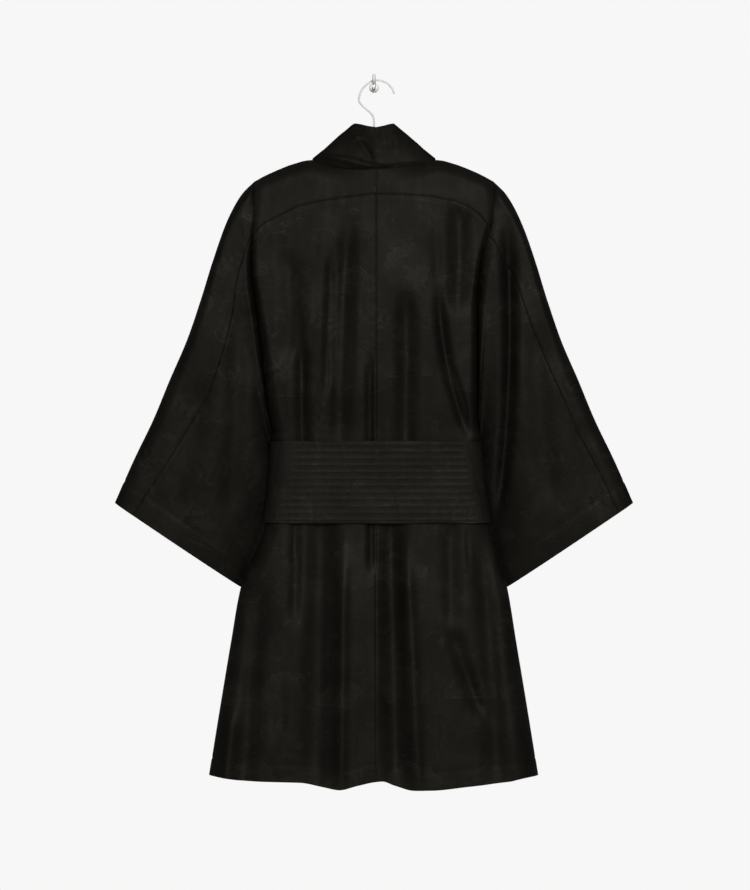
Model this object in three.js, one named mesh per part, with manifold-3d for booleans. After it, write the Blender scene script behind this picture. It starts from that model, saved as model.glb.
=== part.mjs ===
// Kimono robe hung by its hanger from a small wall hook, its back to the room.
// Millimetres, +Z up. The wall is the plane Y = 0 and everything lies on its -Y side.
// The origin is the middle of the wall hook's plate, where it touches the wall.
// Left and right are the wearer's, so left is -X. "Out" is the distance from the middle on that side.

import * as THREE from 'three';
import { mergeVertices } from 'three/addons/utils/BufferGeometryUtils.js';
import Module from 'manifold-3d';

// Cloth thicknesses and the gaps between neighbours
const CLOTH = 1.6;
const BAND = 3.0;
const BELT = 3.6;
const TAIL = 2.4;
const SEAM_GAP = 0.3;
const ARMHOLE_GAP = 0.9;
const ARMPIT_GAP = 3.4;
const LAY_GAP = 0.5;
const BELT_GAP = 0.8;
const HALF_GAP = SEAM_GAP / 2 + 0.02;

// Places that the whole garment hangs from
const HANG_Y = -60;
const CENTRE_X = 3;
const SHOULDER_Z = -143.5;
const ARMPIT_Z = -506;
const BELT_TOP_Z = -519;
const BELT_LOW_Z = -638;
const NECK_OUT = 93;
const NECK_BACK = 30;
const SHOULDER_OUT = 174;

// How far cloth runs before a shoulder fold, cuff fold or underarm fold has turned
const SHOULDER_TURN = 24;
const SLEEVE_FOLD_TURN = 22;
const UNDERARM_TURN = 14;

function table(columns, ...rows) {
  return rows.map((row) => Object.fromEntries(columns.map((name, i) => [name, row[i]])));
}

// Top edge of the back: neck seam, then the shoulder fold out to the sleeve
const BACK_TOP = table(['out', 'z'],
  [0, -129], [30, -128], [60, -123.5], [80, -117], [93, -112],
  [117, -117.5], [139, -126], [159, -135], [174, -143.5]);

// Top edge of the front: the collar's fold, then the same shoulder fold
const FRONT_TOP = table(['out', 'z'],
  [0, -60], [29, -60], [93, -112], [117, -117.5], [139, -126], [159, -135], [174, -143.5]);

// Seam where each sleeve joins the body, shoulder to armpit
const ARMHOLE = table(['z', 'left', 'right'],
  [-143.5, 174, 174], [-196, 174, 172], [-228, 177, 163], [-264, 178, 155], [-328, 171, 150],
  [-378, 165, 150], [-431, 159, 150], [-476, 154, 151], [-506, 147, 153]);

// Side edge of the body, armpit to hem
const SIDE_EDGE = table(['z', 'left', 'right'],
  [-506, 147, 153], [-515, 146, 152], [-519, 143, 149], [-638, 157.5, 166.5], [-732, 193, 193],
  [-810, 207, 206], [-900, 222, 221], [-1005, 239, 238]);

// Distance of the back and front layers from the hang plane, and how far the side edge turns
const BODY_DEPTH = table(['z', 'back', 'front', 'turnLeft', 'turnRight'],
  [-60, 30, 18, 16, 16], [-144, 33, 19, 14, 14], [-228, 38, 22, 9, 9], [-328, 39, 24, 12, 11],
  [-431, 37, 23, 17, 12], [-506, 31, 20, 20, 18], [-580, 27, 18, 24, 24], [-638, 28, 18, 26, 26],
  [-760, 35, 24, 30, 30], [-1010, 46, 32, 34, 34]);

const SIDE_FLATTENING = 0.16;

// Half the gap between the sleeve's layers at the armhole, by share of the way down
const ARMHOLE_HALF = table(['share', 'back', 'front'],
  [0, 0, 0], [0.03, 17, 14], [0.08, 24, 17], [0.14, 26, 18], [0.22, 24, 17], [0.35, 19, 15],
  [0.5, 15, 13], [0.8, 10, 9], [0.95, 5, 5], [1, 0, 0]);

// Yoke seam across the back, centre to armhole
const YOKE_SEAM = table(['out', 'left', 'right'],
  [0, -162, -162], [44, -167.5, -163.5], [81, -173.5, -166], [107, -179, -171],
  [129, -189.5, -178.5], [150, -200, -190], [163, -208, -205], [178, -223, -223]);

// Hem line of the skirt, and the heights where its side and its front edge end
const SIDE_HEM_Z = -1003;
const OPENING_HEM_Z = -1010;
const HEM = table(['x', 'z'],
  [-240, -1003], [-180, -1009], [-107, -1011], [-75, -1017], [-50, -1021], [-23, -1015],
  [0, -1010], [12, -1009], [29, -1015], [58, -1022], [81, -1022], [134, -1017], [186, -1011], [240, -1003]);

// Outer fold of the sleeve, shoulder to cuff, and its inner edge, armpit to cuff
const SLEEVE_OUTER = table(['share', 'out', 'z'],
  [0, 174, -143.5], [0.048, 191, -161], [0.132, 212, -198.6], [0.253, 233, -256.6], [0.372, 251, -314.6],
  [0.492, 271, -372.6], [0.616, 296, -430.6], [0.739, 320, -488.6], [0.865, 348, -546.6], [1, 375.5, -609]);
const SLEEVE_INNER = table(['share', 'left', 'right', 'z', 'tuck'],
  [0, 147, 153, -506, 0], [0.03, 150.5, 157, -510, 4], [0.07, 149.5, 156, -520, 16],
  [0.15, 147.5, 154, -540, 28], [0.3, 147, 155, -575, 31], [0.57, 157, 165, -635, 31],
  [0.8, 175, 178, -690, 27], [1, 194, 194, -732, 22]);

// Sleeve layers' distance from its own middle, and the share of the width where the yoke seam runs on
const SLEEVE_DEPTH = table(['share', 'back', 'front'],
  [0, 27, 17], [0.3, 27, 17], [0.7, 23, 16], [1, 17, 15]);
const SLEEVE_SEAM = table(['share', 'left', 'right'],
  [0, 0.22, 0.22], [0.05, 0.27, 0.22], [0.21, 0.31, 0.215], [0.455, 0.295, 0.175],
  [0.7, 0.24, 0.145], [1, 0.15, 0.12]);
const SLEEVE_NARROWING = 0.45;
const SLEEVE_OUTER_LENGTH = 510;
const SLEEVE_INNER_LENGTH = 232;
const SLEEVE_CURVE_SHARE = 0.3;

// How far the sleeve takes to rise out of the valley beside the body, by share down the armhole
const SLEEVE_VALLEY = table(['share', 'left', 'right'],
  [0, 12, 12], [0.25, 13, 20], [0.5, 17, 18], [0.75, 25, 13], [0.9, 25, 13], [1, 13, 13]);

// Front opening: seam and free edge of the collar band, and how much higher the free edge lies
const OPENING = table(['z', 'seam', 'free', 'rise'],
  [-112, 93, 29, 52], [-140, 101, 35, 49], [-170, 105, 37, 45], [-257, 90, 17, 32], [-344, 64, -12, 26],
  [-431, 35, -43, 24], [-518, 3, -75, 14], [-600, -5, -83, 2], [-640, -6, -84, 0], [-1010, -15, -93, 0]);
const OVERLAP_LIFT = 4.6;
const OVERLAP_RAMP = 34;
const OVERLAP_MARGIN = 10;

// Back of the collar, centre seam to the side of the neck, by quarter turn
const COLLAR_BACK = table(['turn', 'seamZ', 'freeZ', 'rollLeft', 'rollRight'],
  [0, -129, -65, 3, 3], [0.25, -128, -63, 15, 5], [0.5, -124, -60.5, 16, 8],
  [0.75, -117, -59.5, 9, 6], [1, -112, -60, 0, 0]);
const COLLAR_FREE_OUT = 29;
const COLLAR_FREE_BACK = 11;
const COLLAR_WIDTH = 80;
const COLLAR_LAP = 3;
const COLLAR_PROUD = 4.8;

// Folds die out at their ends, and where the wall turns in towards an edge
const FOLD_END = 0.22;
const FOLD_EDGE_SQUARE = 60;
const SLEEVE_FOLD_START = 0.06;

// Soft valleys (positive depth) and ridges (negative) of the cloth, each a bowed line down a layer
const FOLD_COLUMNS = ['x0', 'z0', 'x1', 'z1', 'bow', 'width', 'depth'];
const BODY_BACK_FOLDS = table(FOLD_COLUMNS,
  [-35, -180, -49, -560, -4, 13, 7], [-62, -235, -70, -470, 0, 7, 4], [-103, -370, -100, -560, -3, 9, 6],
  [-6, -390, -6, -560, 0, 6, 4], [45, -285, 44, -560, 2, 13, 7], [93, -290, 143, -530, -12, 8, 7],
  [120, -165, 118, -345, 3, 14, 6], [-125, -235, -128, -420, 6, 15, 4],
  [-75, -560, -84, -1060, 0, 22, 10], [-44, -645, -48, -1060, 0, 9, -5], [-4, -560, -4, -720, 0, 6, 5],
  [22, -560, 33, -1060, 0, 17, 11], [44, -645, 66, -1060, 0, 10, -5], [-114, -560, -116, -800, 2, 9, 4],
  [108, -780, 158, -930, 0, 13, 5], [150, -600, 178, -1060, 4, 16, 6], [-168, -700, -190, -1060, 0, 17, 6],
  [-206, -900, -218, -1060, 0, 12, -5], [110, -620, 112, -800, 0, 12, 4]);
const BODY_FRONT_FOLDS = table(FOLD_COLUMNS,
  [-120, -250, -96, -560, -4, 13, 5], [122, -240, 92, -560, 5, 13, 5], [-150, -300, -130, -520, 3, 10, 3],
  [-70, -560, -92, -1060, 0, 20, 8], [-140, -620, -172, -1060, 4, 16, 7], [64, -560, 84, -1060, 0, 19, 8],
  [136, -620, 166, -1060, -3, 16, 7]);
const SLEEVE_BACK_FOLDS = table(FOLD_COLUMNS,
  [190, -190, 178, -650, 12, 9, 15], [232, -330, 262, -640, -5, 18, 5], [-196, -300, -214, -660, 4, 15, 6],
  [-246, -420, -292, -650, -4, 18, 4], [296, -480, 330, -640, 0, 16, 3]);
const SLEEVE_FRONT_FOLDS = table(FOLD_COLUMNS,
  [-200, -260, -214, -680, 5, 12, 7], [-256, -400, -300, -660, -4, 17, 5], [204, -270, 216, -690, -4, 12, 7],
  [258, -380, 296, -650, 5, 17, 5]);

// Belt: quilted back panel, its slanted ends, the ties that wrap to the front, knot and tails
const BELT_CHANNELS = 12;
const BELT_CHANNEL_RISE = 1.0;
const BELT_END = table(['z', 'left', 'right'], [-638, 152, 159], [-519, 133, 134]);
const TIE_MIDDLE_Z = -579;
const TIE_HALF = 22;
const KNOT_HALF = { x: 24, y: 10, z: 24 };
const TAILS = table(['name', 'x0', 'x1', 'length'], ['left', -15, -46, 240], ['right', 15, 42, 222]);
const TAIL_WIDTH = 42;
const TAIL_TOP_Z = -590;
const TAIL_STEPS = 12;

// Hanger and wall hook
const WIRE_RADIUS = 1.4;
const BAR_RADIUS = 5;
const BAR = table(['out', 'z'],
  [0, -113], [60, -116.5], [93, -119.9], [117, -124.8], [139, -133.4], [159, -142.7],
  [169, -149.8], [178, -159]);
const PEG_RADIUS = 2.6;
const PEG_REACH = 70;
const PEG_TIP_Z = 9.2;
const PLATE_RADIUS = 7;
const PLATE_THICKNESS = 4;

// Shares of the panel grids: across from the side edge, down the armhole, and down the skirt
const ACROSS = [0, 0.01, 0.035, 0.08, 0.135, 0.19, 0.245, 0.3, 0.355, 0.41, 0.466, 0.525, 0.585, 0.645,
  0.705, 0.765, 0.825, 0.885, 0.94, 1];
const DOWN_ARMHOLE = [0, 0.012, 0.045, 0.095, 0.155, 0.22, 0.31, 0.4, 0.5, 0.6, 0.7, 0.8, 0.88, 0.94,
  0.98, 1];
const YOKE_ROWS = 5;
const DOWN_SKIRT = [0, 0.0175, 0.026, 0.09, 0.165, 0.24, 0.285, 0.36, 0.45, 0.54, 0.63, 0.72, 0.81, 0.91, 1];
const DOWN_SLEEVE = [0, 0.01, 0.035, 0.08, 0.15, 0.24, 0.34, 0.45, 0.57, 0.7, 0.84, 1];
const FRONT_ACROSS = [0, 0.012, 0.05, 0.13, 0.24, 0.36, 0.48, 0.6, 0.72, 0.86, 1];
const COLLAR_ACROSS = [0, 0.12, 0.3, 0.5, 0.75, 1];
const COLLAR_TURNS = [0, 0.1, 0.2, 0.32, 0.44, 0.56, 0.68, 0.8, 0.9];

const LEFT = { name: 'left', sign: -1 };
const RIGHT = { name: 'right', sign: 1 };
const BACK = { name: 'back', sign: -1 };
const FRONT = { name: 'front', sign: 1 };

const clamp01 = (value) => Math.min(Math.max(value, 0), 1);
const mix = (from, to, share) => from + (to - from) * share;
const ease = (value) => clamp01(value) ** 2 * (3 - 2 * clamp01(value));

// Square of a quarter turn's height, 0 at the fold and 1 once the cloth has turned
const turned = (distance, length) => 1 - (1 - Math.min(distance / length, 1)) ** 2;

// Smooth curve through a table, without overshoot, straight on past its ends
function smooth(rows, by, out) {
  const sorted = [...rows].sort((a, b) => a[by] - b[by]);
  const at = sorted.map((row) => row[by]);
  const value = sorted.map((row) => row[out]);
  const last = at.length - 1;
  const slope = at.slice(1).map((next, i) => (value[i + 1] - value[i]) / (next - at[i]));
  const tangent = at.map((_, i) => {
    if (i === 0) return slope[0];
    if (i === last) return slope[last - 1];
    const product = slope[i - 1] * slope[i];
    return product > 0 ? (2 * product) / (slope[i - 1] + slope[i]) : 0;
  });
  return (where) => {
    if (where <= at[0]) return value[0] + tangent[0] * (where - at[0]);
    if (where >= at[last]) return value[last] + tangent[last] * (where - at[last]);
    const i = at.findIndex((next) => next > where) - 1;
    const step = at[i + 1] - at[i];
    const t = (where - at[i]) / step;
    return value[i] * (1 + 2 * t) * (1 - t) ** 2 + value[i + 1] * t ** 2 * (3 - 2 * t)
      + tangent[i] * step * t * (1 - t) ** 2 - tangent[i + 1] * step * t ** 2 * (1 - t);
  };
}

const bothSides = (rows, by) => ({ left: smooth(rows, by, 'left'), right: smooth(rows, by, 'right') });

const topLine = { back: smooth(BACK_TOP, 'out', 'z'), front: smooth(FRONT_TOP, 'out', 'z') };
const armholeOut = bothSides(ARMHOLE, 'z');
const sideOut = bothSides(SIDE_EDGE, 'z');
const bothLayers = (rows, by) => ({ back: smooth(rows, by, 'back'), front: smooth(rows, by, 'front') });
const layerDepth = bothLayers(BODY_DEPTH, 'z');
const sideTurn = { left: smooth(BODY_DEPTH, 'z', 'turnLeft'), right: smooth(BODY_DEPTH, 'z', 'turnRight') };
const halfSquares = ARMHOLE_HALF.map(({ share, ...half }) => (
  { share, back: half.back ** 2, front: half.front ** 2 }));
const armholeSquare = bothLayers(halfSquares, 'share');
const yokeSeamZ = bothSides(YOKE_SEAM, 'out');
const hemZ = smooth(HEM, 'x', 'z');
const outerOut = smooth(SLEEVE_OUTER, 'share', 'out');
const outerZ = smooth(SLEEVE_OUTER, 'share', 'z');
const innerOut = bothSides(SLEEVE_INNER, 'share');
const innerZ = smooth(SLEEVE_INNER, 'share', 'z');
const innerTuck = smooth(SLEEVE_INNER, 'share', 'tuck');
const sleeveDepth = bothLayers(SLEEVE_DEPTH, 'share');
const sleeveSeam = bothSides(SLEEVE_SEAM, 'share');
const sleeveValley = bothSides(SLEEVE_VALLEY, 'share');
const seamOut = smooth(OPENING, 'z', 'seam');
const freeOut = smooth(OPENING, 'z', 'free');
const freeRise = smooth(OPENING, 'z', 'rise');
const freeLine = smooth(OPENING.map(({ z, free, rise }) => ({ z: z + rise, free })), 'z', 'free');
const collarSeamZ = smooth(COLLAR_BACK, 'turn', 'seamZ');
const collarFreeZ = smooth(COLLAR_BACK, 'turn', 'freeZ');
const collarRoll = {
  left: smooth(COLLAR_BACK, 'turn', 'rollLeft'), right: smooth(COLLAR_BACK, 'turn', 'rollRight'),
};
const beltEnd = bothSides(BELT_END, 'z');
const armholeShare = (z) => clamp01((SHOULDER_Z - z) / (SHOULDER_Z - ARMPIT_Z));
const edgeOut = (side, z) => (z > ARMPIT_Z ? armholeOut[side.name](z) : sideOut[side.name](z));

function foldDepth(folds, x, z) {
  let depth = 0;
  for (const fold of folds) {
    const t = (z - fold.z0) / (fold.z1 - fold.z0);
    if (t <= 0 || t >= 1) continue;
    const middle = mix(fold.x0, fold.x1, t) + fold.bow * 4 * t * (1 - t);
    const fade = ease(t / FOLD_END) * ease((1 - t) / FOLD_END);
    depth += fold.depth * fade * Math.exp(-(((x - middle) / fold.width) ** 2));
  }
  return depth;
}

// Point and outward normal of a layer whose distance from its middle plane is sqrt(square) - fold
function shellPoint(shape, layer, u, v) {
  const step = 1e-3;
  const here = shape(u, v);
  const half = Math.sqrt(Math.max(here.square, 0));
  const change = (du, dv) => {
    const ahead = shape(u + du, v + dv);
    const behind = shape(u - du, v - dv);
    const rate = (key) => (ahead[key] - behind[key]) / (2 * step);
    const y = half * rate('middle') + layer.sign * (rate('square') / 2 - half * rate('fold'));
    return { x: rate('x'), y, z: rate('z') };
  };
  const a = change(step, 0);
  const b = change(0, step);
  const turn = Math.sign(a.z * b.x - a.x * b.z) * layer.sign || 1;
  const normal = new THREE.Vector3(
    a.y * b.z - a.z * b.y, half * (a.z * b.x - a.x * b.z), a.x * b.y - a.y * b.x).multiplyScalar(turn);
  const y = here.middle + layer.sign * (half - here.fold);
  return { point: new THREE.Vector3(here.x, y, here.z), normal: normal.normalize() };
}

// How far the left front stands off so that it lies over the right front
function overlapLift(side, layer, x, z) {
  if (side !== LEFT || layer !== FRONT) return 0;
  return OVERLAP_LIFT * ease((OVERLAP_RAMP + OVERLAP_MARGIN - freeLine(z) + x) / OVERLAP_RAMP);
}

// Body layer as a height over the hang plane, measured at x and z
function bodyShape(side, layer, smoothCloth = false) {
  const folds = layer === BACK ? BODY_BACK_FOLDS : BODY_FRONT_FOLDS;
  return (x, z) => {
    const out = side.sign * x;
    const edge = edgeOut(side, z);
    const crown = 1 - SIDE_FLATTENING * (1 - Math.cos((Math.PI / 2) * clamp01(Math.abs(out) / edge)));
    const full = (layerDepth[layer.name](z) * crown) ** 2;
    const neck = layer === BACK ? NECK_BACK ** 2 * Math.max(1 - (out / NECK_OUT) ** 2, 0) : 0;
    const rest = Math.max(z > ARMPIT_Z ? armholeSquare[layer.name](armholeShare(z)) : 0, neck);
    const fromTop = topLine[layer.name](Math.abs(out)) - z;
    const rise = turned(edge - out, sideTurn[side.name](z)) * turned(fromTop, SHOULDER_TURN);
    const square = rest + (full - rest) * rise;
    const fade = square / (Math.abs(square) + FOLD_EDGE_SQUARE);
    const fold = (smoothCloth ? 0 : foldDepth(folds, x, z)) * fade - overlapLift(side, layer, x, z);
    return { x, z, middle: HANG_Y, square, fold };
  };
}

const bodyPoint = (side, layer, x, z, plain) => shellPoint(bodyShape(side, layer, plain), layer, x, z);

// Sleeve layer by share of the way down it and share across from its outer fold
function sleeveShape(side, layer) {
  const folds = layer === BACK ? SLEEVE_BACK_FOLDS : SLEEVE_FRONT_FOLDS;
  const armpitOut = innerOut[side.name](0);
  return (down, across) => {
    const from = { out: outerOut(down), z: outerZ(down) };
    const to = { out: innerOut[side.name](down), z: innerZ(down) };
    const z = mix(from.z, to.z, across);
    const seamZ = mix(SHOULDER_Z, ARMPIT_Z, across);
    const bow = armholeOut[side.name](seamZ) - mix(SHOULDER_OUT, armpitOut, across);
    const out = mix(from.out, to.out, across) + bow * (1 - ease(down / SLEEVE_CURVE_SHARE));
    const width = Math.hypot(from.out - to.out, from.z - to.z);
    const tube = (sleeveDepth[layer.name](down) * (1 - SLEEVE_NARROWING * across ** 4)) ** 2
      * turned(across * width, SLEEVE_FOLD_TURN) * turned((1 - across) * width, UNDERARM_TURN);
    const rest = armholeSquare[layer.name](across);
    const fromArmhole = down * mix(SLEEVE_OUTER_LENGTH, SLEEVE_INNER_LENGTH, across);
    const square = rest + (tube - rest) * turned(fromArmhole, sleeveValley[side.name](across));
    const x = side.sign * out;
    const fade = (square / (Math.abs(square) + FOLD_EDGE_SQUARE)) * ease(down / SLEEVE_FOLD_START);
    const middle = HANG_Y + innerTuck(down) * across ** 3;
    return { x, z, middle, square, fold: foldDepth(folds, x, z) * fade };
  };
}

// Share across the sleeve of armhole row j, squeezed so that one row follows the yoke seam
function sleeveShare(side, down, j) {
  const seam = DOWN_ARMHOLE[YOKE_ROWS];
  const here = sleeveSeam[side.name](down);
  const share = DOWN_ARMHOLE[j];
  return share <= seam ? (share / seam) * here : 1 - ((1 - share) / (1 - seam)) * (1 - here);
}

// Points on the armhole belong to body and sleeve alike, so they share one normal
function armholePoint(side, layer, j) {
  const share = DOWN_ARMHOLE[j];
  const z = mix(SHOULDER_Z, ARMPIT_Z, share);
  const body = bodyPoint(side, layer, side.sign * armholeOut[side.name](z), z);
  const sleeve = shellPoint(sleeveShape(side, layer), layer, 0, share);
  const normal = body.normal.clone().add(sleeve.normal);
  normal.y = layer.sign * Math.max(Math.abs(normal.y), 0.02);
  return { point: body.point, normal: normal.normalize() };
}

// Closed wall round a grid of points: half its thickness on each side of them
function wall(grid, thickness, outerRise = () => 0) {
  const rows = grid.length;
  const columns = grid[0].length;
  const vertices = [];
  for (const sign of [1, -1]) {
    grid.forEach((row, i) => row.forEach(({ point, normal }, j) => {
      const out = (sign * thickness) / 2 + (sign > 0 ? outerRise(i, j) : 0);
      vertices.push(...point.clone().addScaledVector(normal, out).toArray());
    }));
  }
  const outer = (i, j) => i * columns + j;
  const inner = (i, j) => rows * columns + outer(i, j);
  const faces = [];
  const quad = (a, b, c, d) => faces.push(a, b, c, a, c, d);
  for (let i = 0; i < rows - 1; i += 1) {
    for (let j = 0; j < columns - 1; j += 1) {
      quad(outer(i, j), outer(i, j + 1), outer(i + 1, j + 1), outer(i + 1, j));
      quad(inner(i, j), inner(i + 1, j), inner(i + 1, j + 1), inner(i, j + 1));
    }
  }
  for (let j = 0; j < columns - 1; j += 1) {
    quad(outer(0, j), inner(0, j), inner(0, j + 1), outer(0, j + 1));
    quad(outer(rows - 1, j), outer(rows - 1, j + 1), inner(rows - 1, j + 1), inner(rows - 1, j));
  }
  for (let i = 0; i < rows - 1; i += 1) {
    quad(outer(i, 0), outer(i + 1, 0), inner(i + 1, 0), inner(i, 0));
    quad(outer(i, columns - 1), inner(i, columns - 1), inner(i + 1, columns - 1), outer(i + 1, columns - 1));
  }
  return outward(vertices, faces);
}

// Geometry of a closed mesh with its faces turned outward
function outward(vertices, faces) {
  let volume = 0;
  const corner = (k) => new THREE.Vector3().fromArray(vertices, faces[k] * 3);
  for (let k = 0; k < faces.length; k += 3) {
    volume += corner(k).dot(corner(k + 1).cross(corner(k + 2)));
  }
  const ordered = volume > 0 ? faces : [...faces].reverse();
  const geometry = new THREE.BufferGeometry();
  geometry.setAttribute('position', new THREE.Float32BufferAttribute(vertices, 3));
  geometry.setIndex(ordered);
  return geometry;
}

// Draws a grid's border rows and columns in, each by its own distance
function trimmed(grid, { firstRow = 0, lastRow = 0, firstColumn = 0, lastColumn = 0 }) {
  const rows = grid.length - 1;
  const columns = grid[0].length - 1;
  const pull = (row, column, toRow, toColumn, distance) => {
    const spot = grid[row][column];
    const length = typeof distance === 'function' ? distance(row, column) : distance;
    const way = grid[toRow][toColumn].point.clone().sub(spot.point).setLength(length);
    return { point: spot.point.clone().add(way), normal: spot.normal };
  };
  if (firstRow) grid[0] = grid[0].map((_, j) => pull(0, j, 1, j, firstRow));
  if (lastRow) grid[rows] = grid[rows].map((_, j) => pull(rows, j, rows - 1, j, lastRow));
  for (const row of grid.keys()) {
    if (firstColumn) grid[row][0] = pull(row, 0, row, 1, firstColumn);
    if (lastColumn) grid[row][columns] = pull(row, columns, row, columns - 1, lastColumn);
  }
  return grid;
}

const PANEL_GAPS = { firstRow: HALF_GAP, firstColumn: HALF_GAP, lastColumn: HALF_GAP };

// Back of the body at armhole row j: yoke rows above the yoke seam, back rows under it
function upperBackRow(side, j) {
  const seamShare = DOWN_ARMHOLE[YOKE_ROWS];
  const edgeZ = mix(SHOULDER_Z, ARMPIT_Z, DOWN_ARMHOLE[j]);
  const edgeX = side.sign * armholeOut[side.name](edgeZ);
  return ACROSS.map((across, i) => {
    if (i === 0) return armholePoint(side, BACK, j);
    const x = mix(edgeX, CENTRE_X, across);
    const out = Math.abs(x);
    const seam = yokeSeamZ[side.name](out);
    const share = DOWN_ARMHOLE[j];
    const z = share <= seamShare
      ? mix(topLine.back(out), seam, share / seamShare)
      : mix(seam, ARMPIT_Z, (share - seamShare) / (1 - seamShare));
    return bodyPoint(side, BACK, x, z);
  });
}

function skirtZ(x, share) {
  return mix(ARMPIT_Z, hemZ(x), share);
}

// The skirt's rows leave the level side edge and reach the hem's own slope this fast
const HEM_LEVELLING = 6;

function lowerRow(side, layer, across, share, innerX) {
  const edgeZ = skirtZ(side.sign * sideOut[side.name](SIDE_HEM_Z), share);
  const edgeX = side.sign * sideOut[side.name](edgeZ);
  return across.map((part) => {
    const x = mix(edgeX, innerX(share), part);
    return bodyPoint(side, layer, x, mix(edgeZ, skirtZ(x, share), Math.min(part * HEM_LEVELLING, 1)));
  });
}

const yoke = (side) => {
  const rows = DOWN_ARMHOLE.slice(0, YOKE_ROWS + 1).map((_, j) => upperBackRow(side, j));
  return wall(trimmed(rows, { ...PANEL_GAPS, lastRow: HALF_GAP }), CLOTH);
};

const back = (side) => {
  const upper = DOWN_ARMHOLE.map((_, j) => j).slice(YOKE_ROWS).map((j) => upperBackRow(side, j));
  const lower = DOWN_SKIRT.slice(1).map((share) => lowerRow(side, BACK, ACROSS, share, () => CENTRE_X));
  return wall(trimmed([...upper, ...lower], PANEL_GAPS), CLOTH);
};

// Row of the front opening's seam: z on the seam for each armhole or skirt share
const openingZ = (side, share) => mix(OPENING[0].z, ARMPIT_Z, share);

const front = (side) => {
  const upper = DOWN_ARMHOLE.map((share, j) => {
    const edge = armholePoint(side, FRONT, j);
    const seamZ = openingZ(side, share);
    const seamX = side.sign * seamOut(seamZ);
    return FRONT_ACROSS.map((across, i) => {
      if (i === 0) return edge;
      const x = mix(edge.point.x, seamX, across);
      const straight = mix(edge.point.z, seamZ, across);
      const top = topLine.front(Math.abs(x));
      const z = share <= DOWN_ARMHOLE[YOKE_ROWS]
        ? mix(top, straight, share / DOWN_ARMHOLE[YOKE_ROWS]) : straight;
      return bodyPoint(side, FRONT, x, z);
    });
  });
  const innerX = (share) => side.sign * seamOut(skirtZ(side.sign * seamOut(OPENING_HEM_Z), share));
  const lower = DOWN_SKIRT.slice(1).map((share) => lowerRow(side, FRONT, FRONT_ACROSS, share, innerX));
  return wall(trimmed([...upper, ...lower], PANEL_GAPS), CLOTH);
};

function sleeveRow(side, layer, down, j) {
  if (down === 0) return armholePoint(side, layer, j);
  return shellPoint(sleeveShape(side, layer), layer, down, sleeveShare(side, down, j));
}

// The sleeve stands a little off the armhole, and more at the armpit, where four edges meet
function sleeveWall(grid) {
  const last = grid[0].length - 1;
  const armhole = (row, column) => (column >= last - 1 ? ARMPIT_GAP : ARMHOLE_GAP);
  return wall(trimmed(grid, { firstRow: armhole, firstColumn: HALF_GAP, lastColumn: HALF_GAP }), CLOTH);
}

const sleeveBack = (side) => {
  const rows = DOWN_ARMHOLE.map((_, j) => j).slice(YOKE_ROWS);
  const grid = DOWN_SLEEVE.map((down) => rows.map((j) => sleeveRow(side, BACK, down, j)));
  return sleeveWall(grid);
};

const sleeveTop = (side) => {
  const rows = DOWN_ARMHOLE.map((_, j) => j);
  const grid = DOWN_SLEEVE.map((down) => [
    ...rows.slice(0, YOKE_ROWS + 1).reverse().map((j) => sleeveRow(side, BACK, down, j)),
    ...rows.slice(1).map((j) => sleeveRow(side, FRONT, down, j)),
  ]);
  return sleeveWall(grid);
};

// Collar band: round the neck from the centre back, then down the front edge to the hem
const ROLL_TURN = 0.7;
const ROLL_SPREAD = 0.4;

function collarNeckPoint(side, turn, across) {
  const angle = (turn * Math.PI) / 2;
  const out = mix(NECK_OUT, COLLAR_FREE_OUT, across) * Math.sin(angle);
  const roll = collarRoll[side.name](turn) * 4 * across * (1 - across) ** 2;
  const rollBehind = roll * Math.cos(angle * ROLL_TURN);
  const behind = mix(NECK_BACK, COLLAR_FREE_BACK, across) * Math.cos(angle) + rollBehind;
  const x = mix(CENTRE_X, 0, Math.sin(angle)) + side.sign * (out + roll * ROLL_SPREAD * Math.sin(angle));
  return new THREE.Vector3(x, HANG_Y - behind, mix(collarSeamZ(turn), collarFreeZ(turn), across));
}

// The band laps over the neck edge at the back and lies edge to edge with the front further down
const PROUD_FROM = { z: -205, reach: 60 };
const LAP_FROM = { z: -142, reach: 28 };
const BUTT_GAP = { least: 0.4, perProud: 0.15 };
const collarProud = (z) => COLLAR_PROUD * ease((z - PROUD_FROM.z) / PROUD_FROM.reach);
const collarButt = (z) => -BUTT_GAP.least - BUTT_GAP.perProud * collarProud(z);
const collarLap = (z) => mix(collarButt(z), COLLAR_LAP, ease((z - LAP_FROM.z) / LAP_FROM.reach));

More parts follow.
